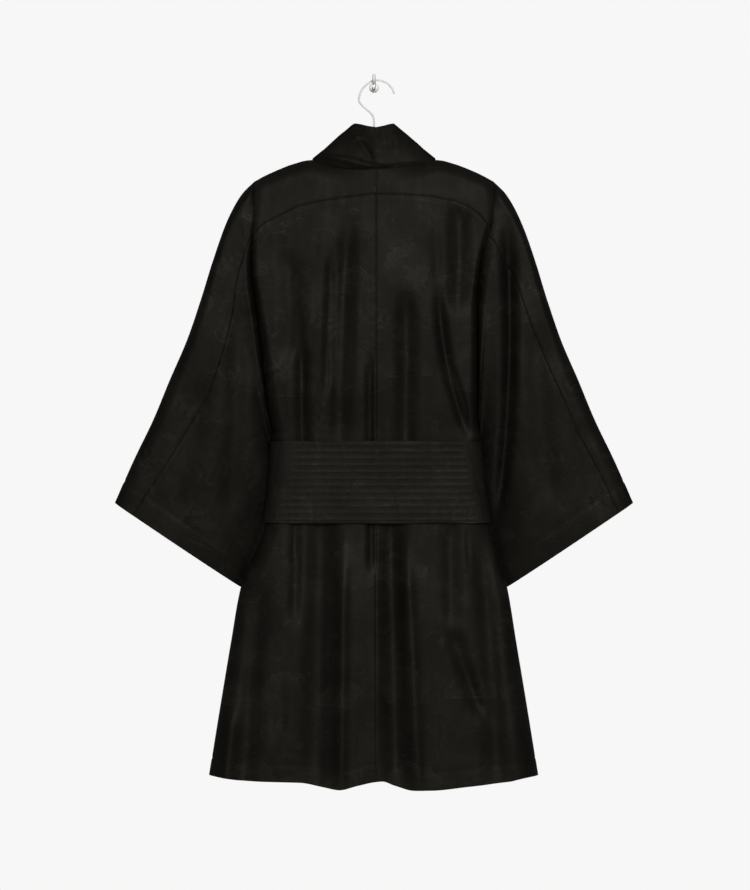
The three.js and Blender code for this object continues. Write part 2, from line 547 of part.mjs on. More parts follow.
function collarGrid(side) {
  const lapped = (across, z) => mix(-collarLap(z) / COLLAR_WIDTH, 1, across);
  const neck = COLLAR_TURNS.map((turn) => COLLAR_ACROSS.map((across) => ({
    point: collarNeckPoint(side, turn, lapped(across, 0)), normal: new THREE.Vector3() })));
  const seamZs = [
    ...DOWN_ARMHOLE.map((share) => openingZ(side, share)),
    ...DOWN_SKIRT.slice(1).map((share) => skirtZ(side.sign * seamOut(OPENING_HEM_Z), share)),
  ];
  const opening = seamZs.map((seamZ) => COLLAR_ACROSS.map((across) => {
    const share = lapped(across, seamZ);
    const x = side.sign * mix(seamOut(seamZ), freeOut(seamZ), share);
    return bodyPoint(side, FRONT, x, seamZ + freeRise(seamZ) * share);
  }));
  const grid = [...neck, ...opening];
  neck.forEach((row, i) => row.forEach((spot, j) => {
    const ahead = grid[i + 1][j].point.clone();
    const behind = i > 0 ? grid[i - 1][j].point : spot.point;
    const along = ahead.sub(behind);
    const up = row[Math.min(j + 1, row.length - 1)].point.clone().sub(row[Math.max(j - 1, 0)].point);
    spot.normal.copy(along.cross(up).multiplyScalar(-side.sign));
    if (i === 0) spot.normal.x = 0;
    spot.normal.normalize();
  }));
  grid.forEach((row) => {
    const proud = collarProud(row[0].point.z);
    row.forEach((spot, j) => spot.point.addScaledVector(spot.normal, proud * (1 - COLLAR_ACROSS[j]) ** 2));
  });
  return trimmed(grid, { firstRow: HALF_GAP });
}

const collar = (side) => wall(collarGrid(side), BAND);

// Smooth body cloth at a height, moved out to where the belt lies on it
function beltPoint(side, layer, x, z, proud) {
  const { point, normal } = bodyPoint(side, layer, x, z, true);
  return { point: point.addScaledVector(normal, proud), normal };
}

const BELT_PROUD = CLOTH / 2 + BELT_GAP + BELT / 2;

const BELT_COLUMNS = 16;

const beltBack = () => {
  const rows = Array.from({ length: 2 * BELT_CHANNELS + 1 }, (_, i) => i / (2 * BELT_CHANNELS));
  const grid = rows.map((down) => {
    const z = mix(BELT_TOP_Z, BELT_LOW_Z, down);
    return Array.from({ length: BELT_COLUMNS + 1 }, (_, j) => {
      const x = mix(-beltEnd.left(z), beltEnd.right(z), (1 - Math.cos((Math.PI * j) / BELT_COLUMNS)) / 2);
      return beltPoint(x < 0 ? LEFT : RIGHT, BACK, x, z, BELT_PROUD);
    });
  });
  const raised = (i, j) => (i % 2 && j > 0 && j < BELT_COLUMNS ? BELT_CHANNEL_RISE : 0);
  const panel = trimmed(grid, { firstColumn: HALF_GAP, lastColumn: HALF_GAP });
  return wall(panel, BELT - BELT_CHANNEL_RISE, raised);
};

// Tie that runs from the back panel's end round the side to the middle of the front
const TIE_NARROWING = 0.8;
const TIE_CLIMB = 0.5;
const TIE_HALF_GAP = 0.4;

const beltTie = (side) => {
  const backSteps = [1, 0.72, 0.45, 0.22, 0.08];
  const sideTurns = [0, 0.012, 0.05, 0.12, 0.22, 0.34, 0.46, 0.58, 0.7, 0.82, 0.92, 1];
  const heights = [0, 0.2, 0.4, 0.6, 0.8, 1];
  const column = (layer, share, down) => {
    const narrowed = layer === FRONT ? ease(share / TIE_NARROWING) : 0;
    const top = mix(BELT_TOP_Z, TIE_MIDDLE_Z + TIE_HALF, narrowed);
    const low = mix(BELT_LOW_Z, TIE_MIDDLE_Z - TIE_HALF, narrowed);
    const z = mix(top, low, down);
    const edge = sideOut[side.name](z);
    const inner = layer === BACK ? beltEnd[side.name](z) : -side.sign * TIE_HALF_GAP;
    const out = mix(edge, inner, share);
    const over = layer === FRONT ? (OVERLAP_LIFT + BAND / 2) * ease(share / TIE_CLIMB) : 0;
    const lifted = side === LEFT && layer === FRONT ? over - overlapLift(side, layer, -out, z) : over;
    return beltPoint(side, layer, side.sign * out, z, BELT_PROUD + lifted);
  };
  const grid = [
    ...backSteps.map((share) => heights.map((down) => column(BACK, share, down))),
    ...sideTurns.map((share) => heights.map((down) => column(FRONT, share, down))),
  ];
  return wall(trimmed(grid, { firstRow: HALF_GAP, lastRow: HALF_GAP }), BELT - BELT_CHANNEL_RISE);
};

function frontOfBelt(x, z) {
  const lift = OVERLAP_LIFT + BAND / 2;
  return bodyPoint(RIGHT, FRONT, x, z, true).point.y + BELT_PROUD + lift + BELT / 2;
}

// Flat knot: a rounded block with a slanting crease
const KNOT_SQUARENESS = 0.62;
const KNOT_CREASE = { depth: 0.16, slant: 0.7, offset: 0.1, width: 0.22 };

const beltKnot = () => {
  const geometry = new THREE.SphereGeometry(1, 20, 14);
  const place = geometry.attributes.position;
  const squarish = (value) => Math.sign(value) * Math.abs(value) ** KNOT_SQUARENESS;
  const middleY = frontOfBelt(0, TIE_MIDDLE_Z) + TAIL + 2 * LAY_GAP + KNOT_HALF.y;
  for (let i = 0; i < place.count; i += 1) {
    const x = squarish(place.getX(i));
    const y = squarish(place.getY(i));
    const z = squarish(place.getZ(i));
    const fromCrease = (x * KNOT_CREASE.slant + z - KNOT_CREASE.offset) / KNOT_CREASE.width;
    const crease = 1 - KNOT_CREASE.depth * Math.exp(-(fromCrease ** 2)) * Math.max(y, 0);
    place.setXYZ(i, KNOT_HALF.x * x, middleY + KNOT_HALF.y * y * crease, TIE_MIDDLE_Z + KNOT_HALF.z * z);
  }
  return merged(geometry);
};

// Tail of the tie: gathered at the knot, rippled and hanging to the front further down
const TAIL_GATHER = { width: 0.6, length: 0.35 };
const TAIL_RIPPLE = { height: 1.5, across: 5, down: 3 };
const TAIL_DROP = { start: 0.06, length: 0.3 };

const beltTail = ({ x0, x1, length }) => {
  const rows = Array.from({ length: TAIL_STEPS + 1 }, (_, i) => i / TAIL_STEPS);
  const grid = rows.map((down) => [-0.5, -0.25, 0, 0.25, 0.5].map((across) => {
    const gathered = mix(TAIL_GATHER.width, 1, ease(down / TAIL_GATHER.length));
    const x = mix(x0, x1, down) + across * TAIL_WIDTH * gathered;
    const z = TAIL_TOP_Z - length * down;
    const onBelt = frontOfBelt(0, TIE_MIDDLE_Z) + LAY_GAP + TAIL / 2;
    const onFront = bodyPoint(LEFT, FRONT, x, z, true).point.y + BAND / 2 + BELT_GAP + TAIL / 2;
    const wave = 1 + Math.cos(across * TAIL_RIPPLE.across + down * TAIL_RIPPLE.down);
    const ripple = TAIL_RIPPLE.height * wave * ease(down / TAIL_DROP.length);
    const dropped = ease((down - TAIL_DROP.start) / TAIL_DROP.length);
    const y = mix(onBelt, Math.max(onFront, onBelt - 2), dropped) + ripple;
    return { point: new THREE.Vector3(x, y, z), normal: new THREE.Vector3(0, 1, 0) };
  }));
  return wall(grid, TAIL);
};

function merged(geometry) {
  const bare = geometry.clone();
  bare.deleteAttribute('normal');
  bare.deleteAttribute('uv');
  return mergeVertices(bare, 1e-4);
}

function roundRod(points, radius, steps, sides = 12) {
  const section = new THREE.Shape();
  section.absarc(0, 0, radius, 0, Math.PI * 2, false);
  const path = new THREE.CatmullRomCurve3(points, false, 'centripetal');
  return merged(new THREE.ExtrudeGeometry(section, { steps, curveSegments: sides / 2, extrudePath: path }));
}

const manifold = await Module();
manifold.setup();

function solid(geometry) {
  return new manifold.Manifold(new manifold.Mesh({
    numProp: 3,
    vertProperties: new Float32Array(geometry.attributes.position.array),
    triVerts: new Uint32Array(geometry.index.array),
  }));
}

function fromSolid(body) {
  const mesh = body.getMesh();
  const geometry = new THREE.BufferGeometry();
  geometry.setAttribute('position', new THREE.BufferAttribute(new Float32Array(mesh.vertProperties), 3));
  geometry.setIndex(new THREE.BufferAttribute(new Uint32Array(mesh.triVerts), 1));
  return geometry;
}

const at = (x, y, z) => new THREE.Vector3(x, y, z);

// Wire hook of the hanger: crook over the peg, then down its shank into the bar
const HOOK_WIRE = table(['x', 'z'],
  [29, -14], [27.5, -9.5], [21, -1.5], [12, 3.4], [4, 4.6], [-3, 3.2], [-11.5, -2.5], [-18, -10], [-21, -18],
  [-21.8, -25], [-17.4, -32], [-10, -38.5], [-4.4, -43.5], [-1.2, -48.5], [0, -56], [0, -75], [0, -92],
  [0, -114]);

const hangerHook = () => roundRod(HOOK_WIRE.map(({ x, z }) => at(x, HANG_Y, z)), WIRE_RADIUS, 44, 8);

// Shoulder bar of the hanger, just under the shoulder folds, with a hole for the wire
const hangerBar = () => {
  const half = BAR.slice(1).map(({ out, z }) => at(out, HANG_Y, z));
  const otherHalf = [...half].reverse().map(({ x, y, z }) => at(-x, y, z));
  const bar = roundRod([...otherHalf, at(0, HANG_Y, BAR[0].z), ...half], BAR_RADIUS, 30, 10);
  const wireHole = [at(0, HANG_Y, BAR[0].z - 2), at(0, HANG_Y, BAR[0].z + 20)];
  const hole = roundRod(wireHole, WIRE_RADIUS + SEAM_GAP, 2, 8);
  return fromSolid(solid(bar).subtract(solid(hole)));
};

// Wall hook: round plate on the wall and a peg with an upturned tip
const wallHook = () => {
  const profile = [[0, 0], [PLATE_RADIUS, 0], [PLATE_RADIUS, 2.2], [PLATE_RADIUS - 1.8, PLATE_THICKNESS],
    [0, PLATE_THICKNESS]].map(([radius, height]) => new THREE.Vector2(radius, height));
  const plate = merged(new THREE.LatheGeometry(profile, 28).rotateX(Math.PI));
  const reach = -PEG_REACH;
  const peg = roundRod([at(0, -1, 0), at(0, -20, -0.4), at(0, -44, -0.6), at(0, HANG_Y, -0.3),
    at(0, reach, 1.2), at(0, reach - 4.5, 4.6), at(0, reach - 5.6, PEG_TIP_Z)], PEG_RADIUS, 18, 10);
  return fromSolid(solid(plate).add(solid(peg)));
};

const BLACK_SATIN = { color: 0x181816, roughness: 0.55, metalness: 0 };
const YOKE_SATIN = { color: 0x1b1b19, roughness: 0.5, metalness: 0 };
const BELT_SATIN = { color: 0x1e1d1a, roughness: 0.5, metalness: 0 };
const WHITE_WIRE = { color: 0xdcdcdc, roughness: 0.35, metalness: 0.4 };
const WHITE_PAINT = { color: 0xe6e4e2, roughness: 0.4, metalness: 0 };

const group = new THREE.Group();

function addPiece(name, geometry, finish) {
  const piece = new THREE.Mesh(geometry, new THREE.MeshStandardMaterial(finish));
  piece.name = name;
  group.add(piece);
}

for (const side of [LEFT, RIGHT]) {
  addPiece(`back_${side.name}`, back(side), BLACK_SATIN);
  addPiece(`yoke_${side.name}`, yoke(side), YOKE_SATIN);
  addPiece(`front_${side.name}`, front(side), BLACK_SATIN);
  addPiece(`sleeve_back_${side.name}`, sleeveBack(side), BLACK_SATIN);
  addPiece(`sleeve_top_${side.name}`, sleeveTop(side), BLACK_SATIN);
  addPiece(`collar_${side.name}`, collar(side), BLACK_SATIN);
  addPiece(`belt_tie_${side.name}`, beltTie(side), BELT_SATIN);
}
addPiece('belt_back', beltBack(), BELT_SATIN);
addPiece('belt_knot', beltKnot(), BELT_SATIN);
for (const tail of TAILS) {
  addPiece(`belt_tail_${tail.name}`, beltTail(tail), BELT_SATIN);
}
addPiece('hanger_hook', hangerHook(), WHITE_WIRE);
addPiece('hanger_bar', hangerBar(), WHITE_PAINT);
addPiece('wall_hook', wallHook(), WHITE_PAINT);

export default group;
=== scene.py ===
import math

import bpy
import numpy as np
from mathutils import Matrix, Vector


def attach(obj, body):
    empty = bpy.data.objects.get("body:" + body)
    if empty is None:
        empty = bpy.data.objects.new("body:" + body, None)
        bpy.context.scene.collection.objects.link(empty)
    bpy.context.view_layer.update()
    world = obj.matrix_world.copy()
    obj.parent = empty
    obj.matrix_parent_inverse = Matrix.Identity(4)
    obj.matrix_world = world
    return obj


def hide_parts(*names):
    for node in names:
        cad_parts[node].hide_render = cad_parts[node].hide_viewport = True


# Black satin kimono robe, its back to the room, on a white hanger and a small wall hook.
# The tables are in millimetres and Blender in metres. +Z is up, the wall is the plane Y = 0 and
# the robe is on its -Y side. Left and right are the wearer's, so left is -X.

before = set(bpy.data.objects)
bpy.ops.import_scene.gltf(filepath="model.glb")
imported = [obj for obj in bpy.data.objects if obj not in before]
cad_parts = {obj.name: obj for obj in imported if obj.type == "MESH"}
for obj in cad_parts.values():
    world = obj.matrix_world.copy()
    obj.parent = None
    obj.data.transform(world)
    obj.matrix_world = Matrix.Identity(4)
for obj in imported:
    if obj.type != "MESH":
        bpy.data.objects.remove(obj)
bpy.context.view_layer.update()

MM = 0.001
LEFT, RIGHT = ("left", -1), ("right", 1)
BACK, FRONT = ("back", -1), ("front", 1)

CLOTH = 1.0
BAND = 2.6
BELT = 2.8
TAIL = 2.2
CAD_CLOTH = 1.6
CAD_BELT = 3.6
BELT_GAP = 0.8
LAY_GAP = 0.5

HANG_Y = -60
CENTRE_X = 3
SHOULDER_Z = -143.5
ARMPIT_Z = -506
BELT_TOP_Z = -519
BELT_LOW_Z = -638
NECK_OUT = 93
NECK_BACK = 30
SHOULDER_OUT = 174
SHOULDER_TURN = 24
SLEEVE_FOLD_TURN = 22
UNDERARM_TURN = 14
SLEEVE_NARROWING = 0.45
SLEEVE_OUTER_LENGTH = 510
SLEEVE_INNER_LENGTH = 232
OVERLAP_LIFT = 4.6
OVERLAP_RAMP = 34
OVERLAP_MARGIN = 10
COLLAR_FREE_OUT = 29
COLLAR_FREE_BACK = 11
COLLAR_WIDTH = 80
COLLAR_LAP = 3
COLLAR_PROUD = 4.8
BELT_CHANNELS = 12
TIE_MIDDLE_Z = -579
TIE_HALF = 22
KNOT_HALF = (24, 10, 24)
TAIL_WIDTH = 42
TAIL_TOP_Z = -590
YOKE_SHARE = 0.22
NECK_SIDE_Z = -112
HEM_Z = -1010
SIDE_HEM_Z = -1003
FOLD_END = 0.22
CREASE_END = 0.5
FOLD_EDGE_SQUARE = 60
SIDE_FLATTENING = 0.16
SLEEVE_COSINE = 0.918
SLEEVE_SINE = 0.396
BELT_CORE = BELT - 1.2


def table(columns, *rows):
    """Columns of a short table by name."""
    return {name: np.array([row[i] for row in rows], float) for i, name in enumerate(columns.split())}


BACK_TOP = table("out z", (0, -129), (30, -128), (60, -123.5), (80, -117), (93, -112),
                 (117, -117.5), (139, -126), (159, -135), (174, -143.5))
FRONT_TOP = table("out z", (0, -60), (29, -60), (93, -112), (117, -117.5), (139, -126),
                  (159, -135), (174, -143.5))
ARMHOLE = table("z left right", (-143.5, 174, 174), (-196, 174, 172), (-228, 177, 163),
                (-264, 178, 155), (-328, 171, 150), (-378, 165, 150), (-431, 159, 150),
                (-476, 154, 151), (-506, 147, 153))
SIDE_EDGE = table("z left right", (-506, 147, 153), (-515, 149.5, 155.5), (-519, 149, 155),
                  (-524, 146.5, 152.5), (-638, 157.5, 166.5), (-732, 193, 193),
                  (-810, 207, 206), (-900, 222, 221), (-1005, 239, 238))
BODY_DEPTH = table("z back front left right", (-60, 30, 18, 16, 16), (-144, 33, 19, 14, 14),
                   (-228, 38, 22, 9, 9), (-328, 39, 24, 12, 11), (-431, 37, 23, 17, 12),
                   (-506, 31, 20, 20, 18), (-580, 27, 18, 24, 24), (-638, 28, 18, 26, 26),
                   (-760, 35, 24, 30, 30), (-1010, 46, 32, 34, 34))
ARMHOLE_HALF = table("share back front", (0, 0, 0), (0.03, 17, 14), (0.08, 24, 17), (0.14, 26, 18),
                     (0.22, 24, 17), (0.35, 17, 15), (0.5, 10, 13), (0.8, 5, 9), (0.95, 2, 5), (1, 0, 0))
YOKE_SEAM = table("out left right", (0, -162, -162), (44, -167.5, -163.5), (81, -173.5, -166),
                  (107, -179, -171), (129, -189.5, -178.5), (150, -200, -190), (163, -208, -205),
                  (178, -223, -223))
HEM = table("x z", (-240, -1003), (-180, -1009), (-107, -1011), (-75, -1017), (-50, -1021),
            (-23, -1015), (0, -1010), (12, -1009), (29, -1015), (58, -1022), (81, -1022),
            (134, -1017), (186, -1011), (240, -1003))
SLEEVE_OUTER = table("share out z", (0, 174, -143.5), (0.048, 191, -161), (0.132, 212, -198.6),
                     (0.253, 233, -256.6), (0.372, 251, -314.6), (0.492, 271, -372.6),
                     (0.616, 296, -430.6), (0.739, 320, -488.6), (0.865, 348, -546.6),
                     (1, 375.5, -609))
SLEEVE_INNER = table("share left right z tuck", (0, 147, 153, -506, 0), (0.03, 148, 154, -510, 4),
                     (0.07, 147, 153, -520, 18), (0.15, 147.5, 154, -540, 28),
                     (0.3, 147, 155, -575, 31), (0.57, 157, 165, -635, 31),
                     (0.8, 175, 178, -690, 27), (1, 194, 194, -732, 22))
SLEEVE_DEPTH = table("share back front", (0, 27, 17), (0.3, 27, 17), (0.7, 23, 16), (1, 17, 15))
SLEEVE_SEAM = table("share left right", (0, 0.22, 0.22), (0.05, 0.27, 0.22), (0.21, 0.31, 0.215),
                    (0.455, 0.295, 0.175), (0.7, 0.24, 0.145), (1, 0.15, 0.12))
SLEEVE_VALLEY = table("share left right", (0, 12, 12), (0.25, 13, 22), (0.5, 18, 20), (0.75, 27, 14),
                      (0.9, 27, 14), (1, 14, 13))
OPENING = table("z seam free rise", (-112, 93, 29, 52), (-140, 101, 35, 49), (-170, 105, 37, 45),
                (-257, 90, 17, 32), (-344, 64, -12, 26), (-431, 35, -43, 24), (-518, 3, -75, 14),
                (-600, -5, -83, 2), (-640, -6, -84, 0), (-1010, -15, -93, 0))
COLLAR_BACK = table("turn seamZ freeZ left right", (0, -129, -65, 3, 3), (0.25, -128, -63, 15, 5),
                    (0.5, -124, -60.5, 16, 8), (0.75, -117, -59.5, 9, 6), (1, -112, -60, 0, 0))
BELT_END = table("z left right", (-638, 152, 159), (-519, 133, 134))
TAILS = (("left", -15, -46, 240), ("right", 15, 42, 222))
BAR = ((0, -113), (60, -116.5), (93, -119.9), (117, -124.8), (139, -133.4), (159, -142.7),
       (169, -149.8), (178, -159))
HOOK_WIRE = ((29, -14), (27.5, -9.5), (21, -1.5), (12, 3.4), (4, 4.6), (-3, 3.2), (-11.5, -2.5),
             (-18, -10), (-21, -18), (-21.8, -25), (-17.4, -32), (-10, -38.5), (-4.4, -43.5),
             (-1.2, -48.5), (0, -56), (0, -75), (0, -92), (0, -114))
PEG = ((-1, 0), (-20, -0.4), (-44, -0.6), (-60, -0.3), (-70, 1.2), (-74.5, 4.6), (-75.6, 9.2))

# Soft valleys (positive depth) and ridges (negative), each a bowed line: x0, z0, x1, z1, bow, width, depth
FOLDS = {
    ("body", "back"): (
        (-35, -180, -49, -560, -4, 13, 7), (-62, -235, -70, -470, 0, 7, 4),
        (-103, -370, -100, -560, -3, 9, 6), (-6, -390, -6, -560, 0, 6, 4),
        (45, -285, 44, -560, 2, 13, 7), (93, -290, 143, -530, -12, 8, 7),
        (120, -165, 118, -345, 3, 14, 6), (-125, -235, -128, -420, 6, 15, 4),
        (-75, -560, -84, -1060, 0, 22, 10), (-44, -645, -48, -1060, 0, 9, -5),
        (-4, -560, -4, -720, 0, 6, 5), (22, -560, 33, -1060, 0, 17, 11),
        (44, -645, 66, -1060, 0, 10, -5), (-114, -560, -116, -800, 2, 9, 4),
        (108, -780, 158, -930, 0, 13, 5), (150, -600, 178, -1060, 4, 16, 6),
        (-168, -700, -190, -1060, 0, 17, 6), (-206, -900, -218, -1060, 0, 12, -5),
        (110, -620, 112, -800, 0, 12, 4)),
    ("body", "front"): (
        (-120, -250, -96, -560, -4, 13, 5), (122, -240, 92, -560, 5, 13, 5),
        (-150, -300, -130, -520, 3, 10, 3), (-70, -560, -92, -1060, 0, 20, 8),
        (-140, -620, -172, -1060, 4, 16, 7), (64, -560, 84, -1060, 0, 19, 8),
        (136, -620, 166, -1060, -3, 16, 7)),
    ("sleeve", "back"): (
        (190, -190, 178, -650, 12, 9, 15), (232, -330, 262, -640, -5, 18, 5),
        (-196, -300, -214, -660, 4, 15, 6), (-246, -420, -292, -650, -4, 18, 4),
        (296, -480, 330, -640, 0, 16, 3)),
    ("sleeve", "front"): (
        (-200, -260, -214, -680, 5, 12, 7), (-256, -400, -300, -660, -4, 17, 5),
        (204, -270, 216, -690, -4, 12, 7), (258, -380, 296, -650, 5, 17, 5)),
}
# Finer creases over body and sleeves alike, in the same columns
CREASES = {
    "back": (
        (261, -388, 273, -381, 0, 2.2, -0.9), (-206, -336, -184, -351, 0, 2.4, -0.9),
        (-191, -178, -184, -248, 0, 2.2, -0.8), (118, -822, 158, -925, 3, 7, 2.6),
        (-60, -200, -58, -520, 2, 5, 1.8), (-108, -300, -100, -520, 0, 6, 2.2),
        (104, -395, 140, -520, 6, 4, 2.6), (88, -190, 95, -330, 0, 8, 2.2),
        (-114, -625, -116, -700, 0, 3.5, 1.8), (-128, -860, -150, -985, 4, 10, 2.4),
        (134, -640, 137, -705, 0, 3.5, 1.4), (-30, -300, -34, -470, 0, 5, 1.2),
        (-236, -360, -262, -560, 3, 12, 1.4), (-330, -540, -300, -640, 0, 9, 0.9),
        (272, -330, 306, -560, -3, 11, 1.3), (338, -545, 318, -640, 0, 9, 0.9)),
    "front": (
        (-60, -300, -70, -480, 3, 9, 1.6), (76, -330, 66, -500, -3, 9, 1.6),
        (-112, -660, -122, -900, 0, 9, 1.8), (104, -660, 118, -900, 0, 9, 1.8),
        (-30, -700, -38, -980, 2, 9, 1.4), (36, -680, 48, -980, -2, 9, 1.5),
        (-186, -760, -204, -990, 0, 10, 1.6), (190, -760, 208, -990, 0, 10, 1.6),
        (-232, -430, -252, -660, 3, 9, 1.8), (236, -430, 254, -660, -3, 9, 1.8),
        (-300, -500, -320, -640, 0, 11, 1.3), (304, -500, 322, -640, 0, 11, 1.3),
        (-130, -260, -138, -420, 3, 9, 1.5), (134, -260, 140, -420, -3, 9, 1.5)),
}


def clamp01(value):
    return np.clip(value, 0, 1)


def mix(start, end, share):
    return start + (end - start) * share


def ease(value):
    value = clamp01(value)
    return value ** 2 * (3 - 2 * value)


def turned(distance, length):
    """Square of a quarter turn's height, 0 at the fold and 1 once the cloth has turned."""
    return 1 - (1 - np.minimum(distance / length, 1)) ** 2


def smooth(at, value):
    """Smooth curve through a table, without overshoot, straight on past its ends."""
    order = np.argsort(at)
    at, value = at[order], value[order]
    slope = np.diff(value) / np.diff(at)
    tangent = np.concatenate([slope[:1], np.zeros(len(at) - 2), slope[-1:]])
    product, total = slope[:-1] * slope[1:], slope[:-1] + slope[1:]
    same_way = product > 0
    tangent[1:-1][same_way] = 2 * product[same_way] / total[same_way]

    def curve(where):
        where = np.asarray(where, float)
        i = np.clip(np.searchsorted(at, where, side="right") - 1, 0, len(at) - 2)
        step = at[i + 1] - at[i]
        t = clamp01((where - at[i]) / step)
        inside = (value[i] * (1 + 2 * t) * (1 - t) ** 2 + value[i + 1] * t ** 2 * (3 - 2 * t)
                  + tangent[i] * step * t * (1 - t) ** 2 - tangent[i + 1] * step * t ** 2 * (1 - t))
        below = tangent[0] * np.minimum(where - at[0], 0)
        above = tangent[-1] * np.maximum(where - at[-1], 0)
        return inside + below + above

    return curve


def curve(rows, by, out):
    return smooth(rows[by], rows[out])


def both(rows, by):
    return {"left": curve(rows, by, "left"), "right": curve(rows, by, "right")}


top_line = {"back": curve(BACK_TOP, "out", "z"), "front": curve(FRONT_TOP, "out", "z")}
armhole_out = both(ARMHOLE, "z")
side_out = both(SIDE_EDGE, "z")
layer_depth = {"back": curve(BODY_DEPTH, "z", "back"), "front": curve(BODY_DEPTH, "z", "front")}
side_turn = both(BODY_DEPTH, "z")
armhole_square = {name: smooth(ARMHOLE_HALF["share"], ARMHOLE_HALF[name] ** 2) for name in ("back", "front")}
yoke_seam_z = both(YOKE_SEAM, "out")
hem_z = curve(HEM, "x", "z")
outer_out = curve(SLEEVE_OUTER, "share", "out")
outer_z = curve(SLEEVE_OUTER, "share", "z")
inner_out = both(SLEEVE_INNER, "share")
inner_z = curve(SLEEVE_INNER, "share", "z")
inner_tuck = curve(SLEEVE_INNER, "share", "tuck")
sleeve_depth = {"back": curve(SLEEVE_DEPTH, "share", "back"), "front": curve(SLEEVE_DEPTH, "share", "front")}
sleeve_seam = both(SLEEVE_SEAM, "share")
sleeve_valley = both(SLEEVE_VALLEY, "share")
seam_out = curve(OPENING, "z", "seam")
free_out = curve(OPENING, "z", "free")
free_rise = curve(OPENING, "z", "rise")
free_line = smooth(OPENING["z"] + OPENING["rise"], OPENING["free"])
collar_seam_z = curve(COLLAR_BACK, "turn", "seamZ")
collar_free_z = curve(COLLAR_BACK, "turn", "freeZ")
collar_roll = both(COLLAR_BACK, "turn")
belt_end = both(BELT_END, "z")


def armhole_share(z):
    return clamp01((SHOULDER_Z - z) / (SHOULDER_Z - ARMPIT_Z))


def fold_depth(folds, x, z, end=FOLD_END):
    depth = np.zeros(np.broadcast(x, z).shape)
    for x0, z0, x1, z1, bow, width, deep in folds:
        t = (z - z0) / (z1 - z0)
        middle = mix(x0, x1, t) + bow * 4 * t * (1 - t)
        fade = ease(t / end) * ease((1 - t) / end) * (t > 0) * (t < 1)
        depth = depth + deep * fade * np.exp(-((x - middle) / width) ** 2)
    return depth


def unit(vectors):
    return vectors / np.maximum(np.linalg.norm(vectors, axis=-1, keepdims=True), 1e-12)


def shell_point(shape, sign, u, v):
    """Point and outward normal of a layer whose distance from its middle plane is sqrt(square) - fold."""
    step = 1e-3
    u, v = np.broadcast_arrays(np.asarray(u, float), np.asarray(v, float))
    x, z, middle, square, fold = shape(u, v)
    half = np.sqrt(np.maximum(square, 0))

    def change(du, dv):
        pairs = zip(shape(u + du, v + dv), shape(u - du, v - dv))
        dx, dz, dmiddle, dsquare, dfold = [(a - b) / (2 * step) for a, b in pairs]
        return dx, half * dmiddle + sign * (dsquare / 2 - half * dfold), dz

    ax, ay, az = change(step, 0)
    bx, by, bz = change(0, step)
    turn = np.where(az * bx - ax * bz < 0, -1, 1) * sign
    normal = np.stack([ay * bz - az * by, half * (az * bx - ax * bz), ax * by - ay * bx], -1)
    point = np.stack(np.broadcast_arrays(x, middle + sign * (half - fold), z), -1)
    return point, unit(normal * turn[..., None]), square


def overlap_lift(side, layer, x, z):
    if side != LEFT or layer != FRONT:
        return 0
    return OVERLAP_LIFT * ease((OVERLAP_RAMP + OVERLAP_MARGIN - free_line(z) + x) / OVERLAP_RAMP)


# The folds stand out a little more than the solids' do
FOLD_CONTRAST = 1.25


def body_shape(side, layer, plain=False):
    name, sign = side

    def shape(x, z):
        out = sign * x
        edge = np.where(z > ARMPIT_Z, armhole_out[name](z), side_out[name](z))
        crown = 1 - SIDE_FLATTENING + SIDE_FLATTENING * np.cos(np.pi / 2 * clamp01(np.abs(out) / edge))
        full = (layer_depth[layer[0]](z) * crown) ** 2
        neck = NECK_BACK ** 2 * np.maximum(1 - (out / NECK_OUT) ** 2, 0) if layer == BACK else 0
        rest = np.maximum(np.where(z > ARMPIT_Z, armhole_square[layer[0]](armhole_share(z)), 0), neck)
        from_top = top_line[layer[0]](np.abs(out)) - z
        rise = turned(edge - out, side_turn[name](z)) * turned(from_top, SHOULDER_TURN)
        square = rest + (full - rest) * rise
        folds = 0 if plain else FOLD_CONTRAST * fold_depth(FOLDS["body", layer[0]], x, z)
        fold = folds * square / (np.abs(square) + FOLD_EDGE_SQUARE) - overlap_lift(side, layer, x, z)
        return x, z, np.full_like(square, HANG_Y), square, fold

    return shape


def body_point(side, layer, x, z, plain=False):
    return shell_point(body_shape(side, layer, plain), layer[1], x, z)


def sleeve_shape(side, layer):
    name, sign = side
    armpit_out = inner_out[name](0)

    def shape(down, across):
        z = mix(outer_z(down), inner_z(down), across)
        armhole_z = mix(SHOULDER_Z, ARMPIT_Z, across)
        bow = armhole_out[name](armhole_z) - mix(SHOULDER_OUT, armpit_out, across)
        out = mix(outer_out(down), inner_out[name](down), across) + bow * (1 - ease(down / 0.3))
        width = np.hypot(outer_out(down) - inner_out[name](down), outer_z(down) - inner_z(down))
        tube = ((sleeve_depth[layer[0]](down) * (1 - SLEEVE_NARROWING * across ** 4)) ** 2
                * turned(across * width, SLEEVE_FOLD_TURN)
                * turned((1 - across) * width, UNDERARM_TURN))
        rest = armhole_square[layer[0]](across)
        from_armhole = down * mix(SLEEVE_OUTER_LENGTH, SLEEVE_INNER_LENGTH, across)
        square = rest + (tube - rest) * turned(from_armhole, sleeve_valley[name](across))
        x = sign * out
        fade = square / (np.abs(square) + FOLD_EDGE_SQUARE) * ease(down / 0.06)
        fold = fold_depth(FOLDS["sleeve", layer[0]], x, z) * fade
        return x, z, HANG_Y + inner_tuck(down) * across ** 3, square, fold

    return shape


def sleeve_share(side, down, share):
    """Share across the sleeve of an armhole row, so that the yoke seam's row follows the diagonal seam."""
    here = sleeve_seam[side[0]](down)
    return np.where(share <= YOKE_SHARE, share / YOKE_SHARE * here,
                    1 - (1 - share) / (1 - YOKE_SHARE) * (1 - here))


